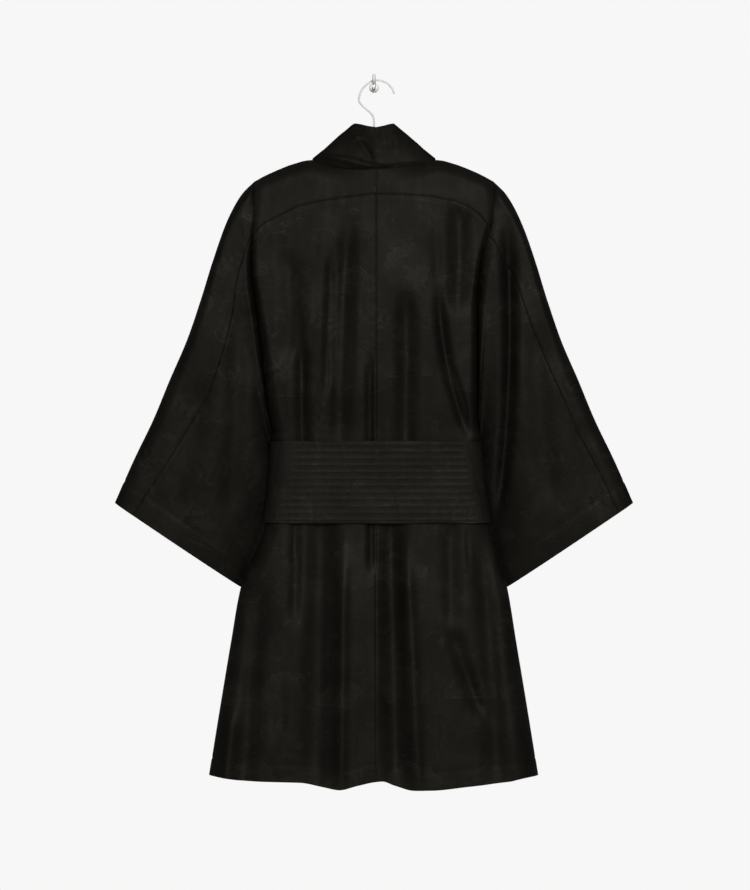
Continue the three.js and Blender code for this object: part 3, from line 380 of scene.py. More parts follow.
def armhole_point(side, layer, share):
    z = mix(SHOULDER_Z, ARMPIT_Z, share)
    point, body_normal, square = body_point(side, layer, side[1] * armhole_out[side[0]](z), z)
    _, sleeve_normal, _ = shell_point(sleeve_shape(side, layer), layer[1], np.zeros_like(share), share)
    normal = body_normal + sleeve_normal
    normal[..., 1] = layer[1] * np.maximum(np.abs(normal[..., 1]), 0.02)
    return point, unit(normal), square


def spaced(count, first=0.0, last=0.0, reach=0.1):
    """Shares from 0 to 1, closer together by those parts towards the first and last."""
    t = (np.arange(count) + 0.5) / count
    step = 1 - first * np.exp(-t / reach) - last * np.exp(-(1 - t) / reach)
    return np.concatenate([[0], np.cumsum(step) / step.sum()])


def soft_noise(x, z, size, seed):
    """Smooth uneven height from -1 to 1 over the cloth, the same at the same place on any piece."""
    rng = np.random.default_rng(seed)
    total = np.zeros(np.broadcast(x, z).shape)
    for _ in range(9):
        across, along = rng.uniform(0.6, 1.5) / size[0], rng.uniform(0.4, 1.4) / size[1]
        turn = rng.uniform(-1, 1)
        phase = rng.uniform(0, 2 * np.pi, 2)
        total += np.sin(2 * np.pi * (x * across + turn * z * along) + phase[0]) * np.sin(
            2 * np.pi * z * along + phase[1])
    return total / 4.2


SEAM_GROOVE = 0.6
SEAM_HALF_WIDTH = 1.3


def groove(distance, deep=SEAM_GROOVE, half=SEAM_HALF_WIDTH):
    return deep * np.exp(-(distance / half) ** 2)


def fine_relief(layer, x, z, square):
    """How far the cloth sinks (positive) by its small creases and unevenness."""
    fade = square / (np.abs(square) + FOLD_EDGE_SQUARE)
    uneven = 0.5 * soft_noise(x, z, (75, 240), 5 if layer == BACK else 6)
    small = 0.16 * soft_noise(x, z, (19, 60), 7 if layer == BACK else 8)
    return (fold_depth(CREASES[layer[0]], x, z, CREASE_END) + uneven + small) * fade


def seam_relief(layer, side, x, z):
    """Grooves of the seams on the body, with the pucker that sewing leaves beside them."""
    out = np.abs(x)
    sink = groove(out - armhole_out[side[0]](z), 0.4) * (z > ARMPIT_Z) * ease((SHOULDER_Z - z) / 70)
    pucker = 0.18 * np.sin(z / 3.1) * np.exp(-np.abs(out - armhole_out[side[0]](z)) / 5) * (z > ARMPIT_Z)
    if layer == BACK:
        to_yoke = z - yoke_seam_z[side[0]](out)
        to_middle = x - CENTRE_X
        sink = sink + groove(to_yoke) + groove(to_middle) * (z < -125)
        sink = sink - 0.35 * ease((to_yoke + 13) / 3) * ease(-to_yoke / 2)
        pucker = pucker + 0.2 * np.sin(x / 3.4) * np.exp(-np.abs(to_yoke) / 5)
        pucker = pucker + 0.15 * np.sin(z / 3.7) * np.exp(-np.abs(to_middle) / 5)
    return sink + pucker


HEM_DEPTH = 24
CUFF_DEPTH = 34


def hem_relief(x, z):
    rise = z - hem_z(x)
    return groove(rise - HEM_DEPTH, 0.5, 1.8) - 0.25 * ease((HEM_DEPTH - rise) / 3)


# Meshes


def new_mesh(name, vertices, quads, uv, material, sharp=50):
    """Mesh object from points in mm and four-cornered faces, with the cloth's flat coordinates as its UVs."""
    mesh = bpy.data.meshes.new(name)
    mesh.vertices.add(len(vertices))
    mesh.vertices.foreach_set("co", (np.asarray(vertices, np.float32) * MM).ravel())
    corners = np.asarray(quads, np.int32).ravel()
    mesh.loops.add(len(corners))
    mesh.loops.foreach_set("vertex_index", corners)
    mesh.polygons.add(len(quads))
    mesh.polygons.foreach_set("loop_start", np.arange(len(quads), dtype=np.int32) * 4)
    mesh.update(calc_edges=True)
    mesh.validate()
    layer = mesh.uv_layers.new(name="cloth")
    layer.data.foreach_set("uv", (np.asarray(uv, np.float32)[corners] * MM).ravel())
    mesh.polygons.foreach_set("use_smooth", np.ones(len(mesh.polygons), bool))
    mesh.set_sharp_from_angle(angle=math.radians(sharp))
    mesh.materials.append(material)
    piece = bpy.data.objects.new(name, mesh)
    bpy.context.scene.collection.objects.link(piece)
    return piece


def grid_quads(rows, columns, start=0):
    i, j = np.meshgrid(np.arange(rows - 1), np.arange(columns - 1), indexing="ij")
    a = start + i * columns + j
    return np.stack([a, a + 1, a + columns + 1, a + columns], -1).reshape(-1, 4)


def rim_quads(rows, columns):
    """Strips that join the border of the first grid to that of a second one that follows it."""
    j, i = np.arange(columns - 1), np.arange(rows - 1)
    far = rows * columns
    top, low = j, (rows - 1) * columns + j
    left, right = i * columns, i * columns + columns - 1
    return np.concatenate([
        np.stack([top, top + far, top + 1 + far, top + 1], -1),
        np.stack([low, low + 1, low + 1 + far, low + far], -1),
        np.stack([left, left + columns, left + columns + far, left + far], -1),
        np.stack([right, right + far, right + columns + far, right + columns], -1)])


def wall(name, points, normals, uv, thickness, material, raised=0):
    """Closed thin shell round a grid of points."""
    rows, columns = points.shape[:2]
    raised = np.broadcast_to(raised, (rows, columns))[..., None]
    outer = points + normals * (thickness / 2 + raised)
    inner = points - normals * thickness / 2
    vertices = np.concatenate([outer.reshape(-1, 3), inner.reshape(-1, 3)])
    quads = np.concatenate([grid_quads(rows, columns),
                            grid_quads(rows, columns, rows * columns)[:, ::-1],
                            rim_quads(rows, columns)])
    corner = vertices[quads]
    volume = np.einsum("ij,ij->i", corner[:, 0], np.cross(corner[:, 1], corner[:, 2])
                       + np.cross(corner[:, 2], corner[:, 3])).sum()
    if volume < 0:
        quads = quads[:, ::-1]
    flat = np.concatenate([uv.reshape(-1, 2)] * 2)
    piece = new_mesh(name, vertices, quads, flat, material)
    return piece


def declared(piece, node):
    """Places a cloth piece on the body in place of its solid."""
    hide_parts(node)
    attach(piece, "root")
    return piece


# Materials


class Graph:
    """Short way to write a node tree."""

    def __init__(self, tree):
        self.tree = tree
        tree.nodes.clear()

    def node(self, kind, **settings):
        made = self.tree.nodes.new(kind)
        for key, value in settings.items():
            setattr(made, key, value)
        return made

    def plug(self, value, socket):
        if isinstance(value, bpy.types.NodeSocket):
            self.tree.links.new(value, socket)
        elif value is not None:
            socket.default_value = value

    def math(self, operation, *values, clamp=False):
        made = self.node("ShaderNodeMath", operation=operation, use_clamp=clamp)
        for value, socket in zip(values, made.inputs):
            self.plug(value, socket)
        return made.outputs[0]

    def add(self, a, b):
        return self.math("ADD", a, b)

    def sub(self, a, b):
        return self.math("SUBTRACT", a, b)

    def mul(self, a, b):
        return self.math("MULTIPLY", a, b)

    def line(self, distance, half, soft=0.7):
        """1 where the distance is within half, falling to 0 over the next soft."""
        away = self.math("ABSOLUTE", distance)
        return self.math("MULTIPLY_ADD", away, -1 / soft, 1 + half / soft, clamp=True)

    def split(self, vector):
        made = self.node("ShaderNodeSeparateXYZ")
        self.plug(vector, made.inputs[0])
        return made.outputs[0], made.outputs[1]

    def join(self, x, y, z=0.0):
        made = self.node("ShaderNodeCombineXYZ")
        for value, socket in zip((x, y, z), made.inputs):
            self.plug(value, socket)
        return made.outputs[0]

    def noise(self, vector, scale, detail=2.0, rough=0.5):
        made = self.node("ShaderNodeTexNoise")
        self.plug(vector, made.inputs["Vector"])
        made.inputs["Scale"].default_value = scale
        made.inputs["Detail"].default_value = detail
        made.inputs["Roughness"].default_value = rough
        return made.outputs["Fac"]

    def ramp(self, value, low, high, start=0.0, end=1.0):
        made = self.node("ShaderNodeMapRange")
        for number, socket in zip((value, low, high, start, end), made.inputs):
            self.plug(number, socket)
        return made.outputs[0]

    def colours(self, share, first, second):
        made = self.node("ShaderNodeMix", data_type="RGBA")
        self.plug(share, made.inputs["Factor"])
        made.inputs["A"].default_value = (*first, 1)
        made.inputs["B"].default_value = (*second, 1)
        return made.outputs["Result"]


def cell(graph, x, y, wide, high, shift_x, shift_y, seed, stray):
    """Place in a staggered cell of the lattice, in mm from its middle, and two random numbers of the cell."""
    y = graph.add(y, shift_y)
    row = graph.math("FLOOR", graph.math("DIVIDE", y, high))
    odd = graph.math("PINGPONG", row, 1.0)
    x = graph.add(graph.add(x, shift_x), graph.mul(odd, wide / 2))
    column = graph.math("FLOOR", graph.math("DIVIDE", x, wide))
    local_x = graph.sub(x, graph.math("MULTIPLY_ADD", column, wide, wide / 2))
    local_y = graph.sub(y, graph.math("MULTIPLY_ADD", row, high, high / 2))
    random = graph.node("ShaderNodeTexWhiteNoise", noise_dimensions="3D")
    graph.plug(graph.join(column, row, seed), random.inputs["Vector"])
    chance = graph.node("ShaderNodeSeparateColor")
    graph.plug(random.outputs["Color"], chance.inputs[0])
    first, second, third = chance.outputs
    local_x = graph.sub(local_x, graph.math("MULTIPLY_ADD", third, stray * wide, -stray * wide / 2))
    local_y = graph.sub(local_y, graph.math("MULTIPLY_ADD", first, stray * high, -stray * high / 2))
    return local_x, local_y, first, second


def flower(graph, x, y, chance, turn, size):
    """Chrysanthemum seen from the front: two rings of petals round a small disc."""
    radius = graph.math("SQRT", graph.add(graph.mul(x, x), graph.mul(y, y)))
    angle = graph.add(graph.math("ARCTAN2", y, x), graph.mul(turn, 6.28))
    grown = graph.math("MULTIPLY_ADD", chance, 0.35 * size, 0.8 * size)
    petal = graph.math("ABSOLUTE", graph.math("COSINE", graph.mul(angle, 7.0)))
    petal = graph.math("POWER", petal, 0.45)
    edge = graph.mul(grown, graph.math("MULTIPLY_ADD", petal, 0.26, 0.74))
    inner = graph.math("ABSOLUTE", graph.math("SINE", graph.mul(angle, 7.0)))
    inner = graph.mul(grown, graph.math("MULTIPLY_ADD", graph.math("POWER", inner, 0.5), 0.16, 0.36))
    rib = graph.mul(graph.math("ABSOLUTE", graph.math("SINE", graph.mul(angle, 7.0))), radius)
    in_petal = graph.mul(graph.math("GREATER_THAN", radius, inner), graph.math("LESS_THAN", radius, edge))
    outer_line, inner_line = graph.line(graph.sub(radius, edge), 0.8), graph.line(graph.sub(radius, inner), 0.6)
    lines = graph.math("MAXIMUM", outer_line, inner_line)
    lines = graph.math("MAXIMUM", lines, graph.mul(graph.line(rib, 1.2, 1.6), in_petal))
    disc = graph.line(radius, 0.12 * size, 1.0)
    body = graph.mul(graph.math("LESS_THAN", radius, edge), 0.45)
    return graph.math("MAXIMUM", graph.math("MAXIMUM", lines, disc), body)


def cloud(graph, x, y, chance):
    """Drifting cloud: round lobes over a long flat foot, drawn with a double line."""
    flip = graph.math("MULTIPLY_ADD", graph.math("GREATER_THAN", chance, 0.5), 2.0, -1.0)
    x = graph.mul(x, flip)
    nearest = None
    for centre_x, centre_y, radius, stretch in (
            (-24, 1, 12, 1), (-6, 10, 15, 1), (15, 5, 13, 1), (31, -2, 8, 1), (2, -7, 4, 7.5)):
        dx = graph.mul(graph.sub(x, float(centre_x)), 1 / stretch)
        dy = graph.sub(y, float(centre_y))
        away = graph.sub(graph.math("SQRT", graph.add(graph.mul(dx, dx), graph.mul(dy, dy))), float(radius))
        nearest = away if nearest is None else graph.math("MINIMUM", nearest, away)
    lines = graph.math("MAXIMUM", graph.line(nearest, 0.8), graph.line(graph.add(nearest, 4.2), 0.5))
    return graph.math("MAXIMUM", lines, graph.mul(graph.math("LESS_THAN", nearest, 0.0), 0.22))


def sprig(graph, x, y, turn):
    """Bent twig with paired leaves."""
    angle = graph.mul(turn, 6.28)
    cosine, sine = graph.math("COSINE", angle), graph.math("SINE", angle)
    along = graph.add(graph.mul(x, cosine), graph.mul(y, sine))
    off = graph.sub(graph.mul(y, cosine), graph.mul(x, sine))
    off = graph.sub(off, graph.mul(graph.math("SINE", graph.mul(along, 0.07)), 5.0))
    inside = graph.math("LESS_THAN", graph.math("ABSOLUTE", along), 34.0)
    place = graph.math("WRAP", along, 6.5, -6.5)
    height = graph.sub(graph.math("ABSOLUTE", off), 6.6)
    lean = graph.sub(place, graph.mul(height, 0.5))
    leaf = graph.math("SQRT", graph.add(graph.mul(graph.mul(lean, lean), 3.2), graph.mul(height, height)))
    leaf = graph.sub(leaf, 5.2)
    shape = graph.math("MAXIMUM", graph.line(leaf, 0.5), graph.mul(graph.math("LESS_THAN", leaf, 0.0), 0.5))
    shape = graph.math("MAXIMUM", shape, graph.line(off, 0.5))
    return graph.mul(shape, inside)


def jacquard_group():
    """Woven figure, 0 for the ground and up to 1, by the cloth's flat coordinates in metres."""
    tree = bpy.data.node_groups.new("jacquard_figure", "ShaderNodeTree")
    tree.interface.new_socket("Flat", in_out="INPUT", socket_type="NodeSocketVector")
    tree.interface.new_socket("Figure", in_out="OUTPUT", socket_type="NodeSocketFloat")
    graph = Graph(tree)
    entry = graph.node("NodeGroupInput")
    bend = graph.node("ShaderNodeTexNoise")
    graph.plug(entry.outputs[0], bend.inputs["Vector"])
    bend.inputs["Scale"].default_value = 22
    bend.inputs["Detail"].default_value = 1
    scaled = graph.node("ShaderNodeVectorMath", operation="SCALE")
    graph.plug(entry.outputs[0], scaled.inputs[0])
    scaled.inputs["Scale"].default_value = 1000
    x, y = graph.split(scaled.outputs[0])
    wander = graph.math("MULTIPLY_ADD", bend.outputs["Fac"], 9.0, -4.5)
    x, y = graph.add(x, wander), graph.sub(y, wander)
    fx, fy, f1, f2 = cell(graph, x, y, 172.0, 148.0, 31.0, 57.0, 1.0, 0.34)
    cx, cy, c1, _ = cell(graph, x, y, 172.0, 148.0, 117.0, 57.0, 2.0, 0.3)
    sx, sy, s1, s2 = cell(graph, x, y, 86.0, 74.0, 31.0, 94.0, 3.0, 0.16)
    figure = graph.math("MAXIMUM", flower(graph, fx, fy, f1, f2, 31.0), cloud(graph, cx, cy, c1))
    kept = graph.math("GREATER_THAN", s1, 0.35)
    clear = graph.math("SUBTRACT", 1.0, figure, clamp=True)
    figure = graph.math("MAXIMUM", figure, graph.mul(graph.mul(sprig(graph, sx, sy, s2), kept), clear))
    clear = graph.math("SUBTRACT", 1.0, figure, clamp=True)
    drift = graph.node("ShaderNodeTexNoise")
    graph.plug(graph.join(graph.mul(x, 0.013), graph.mul(y, 0.024)), drift.inputs["Vector"])
    drift.inputs["Scale"].default_value = 1.0
    drift.inputs["Detail"].default_value = 1.5
    bands = graph.math("PINGPONG", graph.mul(drift.outputs["Fac"], 9.0), 0.5)
    scroll = graph.mul(graph.line(bands, 0.015, 0.05), 0.75)
    figure = graph.math("MAXIMUM", figure, graph.mul(scroll, clear))
    leave = graph.node("NodeGroupOutput")
    graph.plug(figure, leave.inputs[0])
    return tree


FIGURE = jacquard_group()


def satin(name, ground, raised, roughness, figure_strength, specular, sheen=0.0, ribs=1.0):
    """Black satin with a woven figure of the same black, fine weave, slubs and a soft sheen."""
    material = bpy.data.materials.new(name)
    material.use_nodes = True
    graph = Graph(material.node_tree)
    flat = graph.node("ShaderNodeUVMap", uv_map="cloth").outputs[0]
    figure = graph.node("ShaderNodeGroup", node_tree=FIGURE)
    graph.plug(flat, figure.inputs[0])
    worn = graph.ramp(graph.noise(flat, 30.0, 3.0, 0.6), 0.42, 0.60, 0.12, 1.0)
    shown = graph.mul(graph.mul(figure.outputs[0], worn), figure_strength)
    slub_map = graph.node("ShaderNodeMapping")
    slub_map.inputs["Scale"].default_value = (1.0, 14.0, 1.0)
    graph.plug(flat, slub_map.inputs["Vector"])
    slub = graph.noise(slub_map.outputs[0], 60.0, 3.0, 0.6)
    warp_map = graph.node("ShaderNodeMapping")
    warp_map.inputs["Scale"].default_value = (18.0, 1.0, 1.0)
    graph.plug(flat, warp_map.inputs["Vector"])
    warp = graph.noise(warp_map.outputs[0], 45.0, 3.0, 0.6)
    twill = graph.node("ShaderNodeTexWave", wave_type="BANDS", bands_direction="DIAGONAL", wave_profile="SIN")
    graph.plug(flat, twill.inputs["Vector"])
    twill.inputs["Scale"].default_value = 420.0
    twill.inputs["Distortion"].default_value = 1.2
    cloudy = graph.noise(flat, 16.0, 3.0, 0.55)
    tone = graph.add(shown, graph.ramp(cloudy, 0.3, 0.7, -0.14, 0.26))
    tone = graph.add(tone, graph.ramp(slub, 0.3, 0.7, -0.10, 0.12))
    streak_map = graph.node("ShaderNodeMapping")
    streak_map.inputs["Scale"].default_value = (22.0, 1.2, 1.0)
    graph.plug(flat, streak_map.inputs["Vector"])
    streak = graph.noise(streak_map.outputs[0], 6.0, 3.0, 0.6)
    tone = graph.add(tone, graph.ramp(streak, 0.3, 0.7, -0.06, 0.08))
    tone = graph.math("ADD", tone, graph.ramp(warp, 0.3, 0.7, -0.05, 0.06), clamp=True)
    shine = graph.ramp(tone, 0.0, 1.0, roughness + 0.04, roughness - 0.13)
    height = graph.add(graph.mul(shown, 0.30), graph.mul(slub, 0.10))
    height = graph.add(height, graph.mul(warp, 0.10))
    height = graph.add(height, graph.mul(twill.outputs["Fac"], 0.06 * ribs))
    bump = graph.node("ShaderNodeBump")
    bump.inputs["Strength"].default_value = 0.55
    bump.inputs["Distance"].default_value = 0.0005
    graph.plug(height, bump.inputs["Height"])
    shader = graph.node("ShaderNodeBsdfPrincipled")
    graph.plug(graph.colours(tone, ground, raised), shader.inputs["Base Color"])
    graph.plug(shine, shader.inputs["Roughness"])
    graph.plug(bump.outputs[0], shader.inputs["Normal"])
    shader.inputs["Specular IOR Level"].default_value = specular
    shader.inputs["Specular Tint"].default_value = (1.0, 0.95, 0.82, 1)
    shader.inputs["Sheen Weight"].default_value = sheen
    shader.inputs["Sheen Roughness"].default_value = 0.4
    output = graph.node("ShaderNodeOutputMaterial")
    graph.plug(shader.outputs[0], output.inputs[0])
    return material


def painted(name, colour, roughness, specular=0.5, metallic=0.0):
    """Smooth white coat with faint unevenness."""
    material = bpy.data.materials.new(name)
    material.use_nodes = True
    graph = Graph(material.node_tree)
    place = graph.node("ShaderNodeTexCoord").outputs["Object"]
    patch = graph.noise(place, 90.0, 3.0)
    grain = graph.noise(place, 900.0, 2.0)
    darker = tuple(0.86 * value for value in colour)
    bump = graph.node("ShaderNodeBump")
    bump.inputs["Strength"].default_value = 0.12
    bump.inputs["Distance"].default_value = 0.0002
    graph.plug(grain, bump.inputs["Height"])
    shader = graph.node("ShaderNodeBsdfPrincipled")
    graph.plug(graph.colours(graph.ramp(patch, 0.3, 0.7), darker, colour), shader.inputs["Base Color"])
    graph.plug(graph.ramp(patch, 0.2, 0.8, roughness + 0.06, roughness - 0.06), shader.inputs["Roughness"])
    graph.plug(bump.outputs[0], shader.inputs["Normal"])
    shader.inputs["Specular IOR Level"].default_value = specular
    shader.inputs["Metallic"].default_value = metallic
    output = graph.node("ShaderNodeOutputMaterial")
    graph.plug(shader.outputs[0], output.inputs[0])
    return material


JACQUARD = satin("jacquard_satin", (0.0032, 0.0030, 0.0023), (0.0140, 0.0132, 0.0108), 0.54, 0.52, 0.10)
YOKE_CLOTH = satin("yoke_satin", (0.0052, 0.0049, 0.0039), (0.0150, 0.0141, 0.0115), 0.57, 0.20, 0.095)
COLLAR_CLOTH = satin("collar_satin", (0.0040, 0.0037, 0.0029), (0.0140, 0.0131, 0.0107), 0.60, 0.45, 0.10)
SASH_CLOTH = satin("sash_satin", (0.0058, 0.0055, 0.0046), (0.0165, 0.0156, 0.0130), 0.60, 0.45, 0.11)
THREAD = satin("black_thread", (0.0060, 0.0057, 0.0048), (0.0140, 0.0132, 0.0114), 0.45, 0.0, 0.15)
# Lighter thread, used only for the small pale bar of stitches at the foot of the yoke's centre seam
PALE_THREAD = satin("pale_stitch_thread", (0.020, 0.020, 0.018), (0.045, 0.044, 0.040), 0.6, 0.0, 0.15)
WIRE_PAINT = painted("hanger_wire_white", (0.86, 0.86, 0.85), 0.5, 0.3)
BAR_PLASTIC = painted("hanger_bar_white", (0.75, 0.75, 0.74), 0.42)
HOOK_PAINT = painted("wall_hook_white", (0.90, 0.89, 0.88), 0.45)

# Body panels

UPPER_ROWS = 96
SKIRT_ROWS = 118
BODY_COLUMNS = 118


def upper_back(side, share, across):
    """Grid of the back between shoulder and armpit: share is down the armhole, across runs to the middle."""
    share, across = share[:, None], across[None, :]
    edge_z = mix(SHOULDER_Z, ARMPIT_Z, share)
    edge_x = side[1] * armhole_out[side[0]](edge_z)
    x = mix(edge_x, CENTRE_X, across)
    out = np.abs(x)
    seam = yoke_seam_z[side[0]](out)
    z = np.where(share <= YOKE_SHARE, mix(top_line["back"](out), seam, share / YOKE_SHARE),
                 mix(seam, ARMPIT_Z, (share - YOKE_SHARE) / (1 - YOKE_SHARE)))
    point, normal, square = body_point(side, BACK, x, z)
    first = armhole_point(side, BACK, share[:, 0])
    point[:, 0], normal[:, 0] = first[0], first[1]
    blend = ease(across / 0.03)[..., None]
    normal = unit(mix(first[1][:, None], normal, blend))
    return point, normal, square


def skirt_z(x, share):
    return mix(ARMPIT_Z, hem_z(x), share)


def lower_grid(side, layer, share, across, inner_x):
    share, across = share[:, None], across[None, :]
    edge_z = skirt_z(side[1] * side_out[side[0]](SIDE_HEM_Z), share)
    edge_x = side[1] * side_out[side[0]](edge_z)
    x = mix(edge_x, inner_x(share), across)
    z = mix(edge_z, skirt_z(x, share), np.minimum(across * 6, 1))
    return body_point(side, layer, x, z)


def relieved(grid, layer, side):
    """Grid with creases, seams and hem worked in, and its flat coordinates."""
    point, normal, square = grid
    x, z = point[..., 0], point[..., 2]
    sink = fine_relief(layer, x, z, square) + seam_relief(layer, side, x, z)
    sink = sink + hem_relief(x, z) * (z < -900)
    point = point - normal * sink[..., None]
    return point, normal, np.stack([x, z], -1)


def stacked(*grids):
    return [np.concatenate([grid[i] for grid in grids]) for i in range(3)]


ACROSS_BODY = spaced(BODY_COLUMNS, 0.93, 0.6)
UPPER = mix(YOKE_SHARE, 1, spaced(UPPER_ROWS, 0.6, 0.5))
YOKE = YOKE_SHARE * spaced(34, 0.75, 0.5, 0.15)
SKIRT = spaced(SKIRT_ROWS, 0.5, 0.5, 0.08)[1:]


def back_panel(side):
    grid = stacked(upper_back(side, UPPER, ACROSS_BODY),
                   lower_grid(side, BACK, SKIRT, ACROSS_BODY, lambda share: CENTRE_X))
    point, normal, uv = relieved(grid, BACK, side)
    return wall(f"cloth_back_{side[0]}", point, normal, uv, CLOTH, JACQUARD)


def yoke_panel(side):
    point, normal, uv = relieved(upper_back(side, YOKE, ACROSS_BODY), BACK, side)
    return wall(f"cloth_yoke_{side[0]}", point, normal, uv, CLOTH, YOKE_CLOTH)


def front_panel(side):
    name, sign = side
    across = spaced(76, 0.9, 0.3)
    share = np.concatenate([0.22 * spaced(26, 0.85, 0.2, 0.15), mix(0.22, 1, spaced(60, 0.2, 0.4))[1:]])
    edge = armhole_point(side, FRONT, share)
    seam_z = mix(NECK_SIDE_Z, ARMPIT_Z, share)
    edge_x, edge_z = edge[0][:, 0][:, None], edge[0][:, 2][:, None]
    x = mix(edge_x, (sign * seam_out(seam_z))[:, None], across[None, :])
    straight = mix(edge_z, seam_z[:, None], across[None, :])
    top = top_line["front"](np.abs(x))
    down = share[:, None] / YOKE_SHARE
    z = np.where(down <= 1, mix(top, straight, np.minimum(down, 1)), straight)
    point, normal, square = body_point(side, FRONT, x, z)
    point[:, 0] = edge[0]
    normal = unit(mix(edge[1][:, None], normal, ease(across / 0.03)[None, :, None]))
    lower = lower_grid(side, FRONT, SKIRT, across,
                       lambda part: sign * seam_out(skirt_z(sign * seam_out(HEM_Z), part)))
    point, normal, uv = relieved(stacked((point, normal, square), lower), FRONT, side)
    return wall(f"cloth_front_{name}", point, normal, uv, CLOTH, JACQUARD)


# Sleeves

SLEEVE_ROWS = 112


def sleeve_grid(side, layer, down, share):
    down, share = down[:, None], share[None, :]
    across = sleeve_share(side, down, share)
    point, normal, square = shell_point(sleeve_shape(side, layer), layer[1], down, across)
    first = armhole_point(side, layer, share[0])
    start, _, _ = shell_point(sleeve_shape(side, layer), layer[1], np.zeros_like(share[0]), share[0])
    near = 1 - ease(down / 0.045)
    point = point + (first[0] - start)[None] * near[..., None]
    normal = unit(mix(normal, first[1][None], near[..., None]))
    x, z = point[..., 0], point[..., 2]
    length = mix(SLEEVE_OUTER_LENGTH, SLEEVE_INNER_LENGTH, across)
    from_cuff = (1 - down) * length
    width = np.hypot(outer_out(down) - inner_out[side[0]](down), outer_z(down) - inner_z(down))
    from_seam = (across - sleeve_seam[side[0]](down)) * width
    sink = fine_relief(layer, x, z, square) + groove(down * length, 0.4) * ease((SHOULDER_Z - z) / 70)
    sink = sink + groove(from_cuff - CUFF_DEPTH, 0.55, 1.8) - 0.3 * ease((CUFF_DEPTH - from_cuff) / 3)
    if layer == BACK:
        sink = sink + groove(from_seam) + 0.18 * np.sin(down * length / 3.3) * np.exp(-np.abs(from_seam) / 5)
        sink = sink - 0.3 * ease((from_seam + 12) / 3) * ease(-from_seam / 2)
    point = point - normal * sink[..., None]
    out, drop = side[1] * x - SHOULDER_OUT, SHOULDER_Z - z
    over, along = SLEEVE_COSINE * out - SLEEVE_SINE * drop, SLEEVE_SINE * out + SLEEVE_COSINE * drop
    fold_out, fold_drop = outer_out(down) - SHOULDER_OUT, SHOULDER_Z - outer_z(down)
    fold_over = SLEEVE_COSINE * fold_out - SLEEVE_SINE * fold_drop
    if layer == FRONT:
        over = 2 * fold_over - over
    uv = np.stack([side[1] * (260 + over), 60 - along], -1)
    return point, normal, uv


DOWN = spaced(SLEEVE_ROWS, 0.75, 0.55, 0.07)


def sleeve_back_panel(side):
    share = mix(YOKE_SHARE, 1, spaced(74, 0.6, 0.85))
    point, normal, uv = sleeve_grid(side, BACK, DOWN, share)
    return wall(f"cloth_sleeve_back_{side[0]}", point, normal, uv, CLOTH, JACQUARD)


def sleeve_top_panel(side):
    behind = sleeve_grid(side, BACK, DOWN, YOKE_SHARE * spaced(34, 0.93, 0.5, 0.16)[::-1])
    before = sleeve_grid(side, FRONT, DOWN, spaced(84, 0.95, 0.85)[1:])
    point, normal, uv = [np.concatenate([a, b], 1) for a, b in zip(behind, before)]
    return wall(f"cloth_sleeve_top_{side[0]}", point, normal, uv, CLOTH, JACQUARD)


# Collar band


def collar_neck(side, turn, across):
    angle = turn * np.pi / 2
    out = mix(NECK_OUT, COLLAR_FREE_OUT, across) * np.sin(angle)
    roll = collar_roll[side[0]](turn) * 4 * across * (1 - across) ** 2
    behind = mix(NECK_BACK, COLLAR_FREE_BACK, across) * np.cos(angle) + roll * np.cos(angle * 0.7)
    x = mix(CENTRE_X, 0, np.sin(angle)) + side[1] * (out + roll * 0.4 * np.sin(angle))
    z = mix(collar_seam_z(turn), collar_free_z(turn), across)
    return np.stack(np.broadcast_arrays(x, HANG_Y - behind, z), -1)


def collar_lap(z):
    proud = COLLAR_PROUD * ease((z + 205) / 60)
    return mix(-0.4 - 0.15 * proud, COLLAR_LAP, ease((z + 142) / 28))


# Soft creases pressed into the back of the collar: x0, z0, x1, z1, bow, width, depth
COLLAR_CREASES = (
    (-36, -70, -1, -120, 3, 6, 3.6), (-27, -56, -18, -88, 0, 9, 3.0), (13, -60, 15, -92, 0, 6, 1.6),
    (31, -70, 34, -108, 0, 6, 1.5), (-46, -66, -66, -108, 2, 8, 1.6), (52, -68, 74, -108, -2, 9, 1.5),
    (-2, -66, -1, -122, 0, 7, -1.0), (-72, -106, 14, -127, 0, 19, 4.6), (70, -116, 14, -125, 0, 15, 2.6))


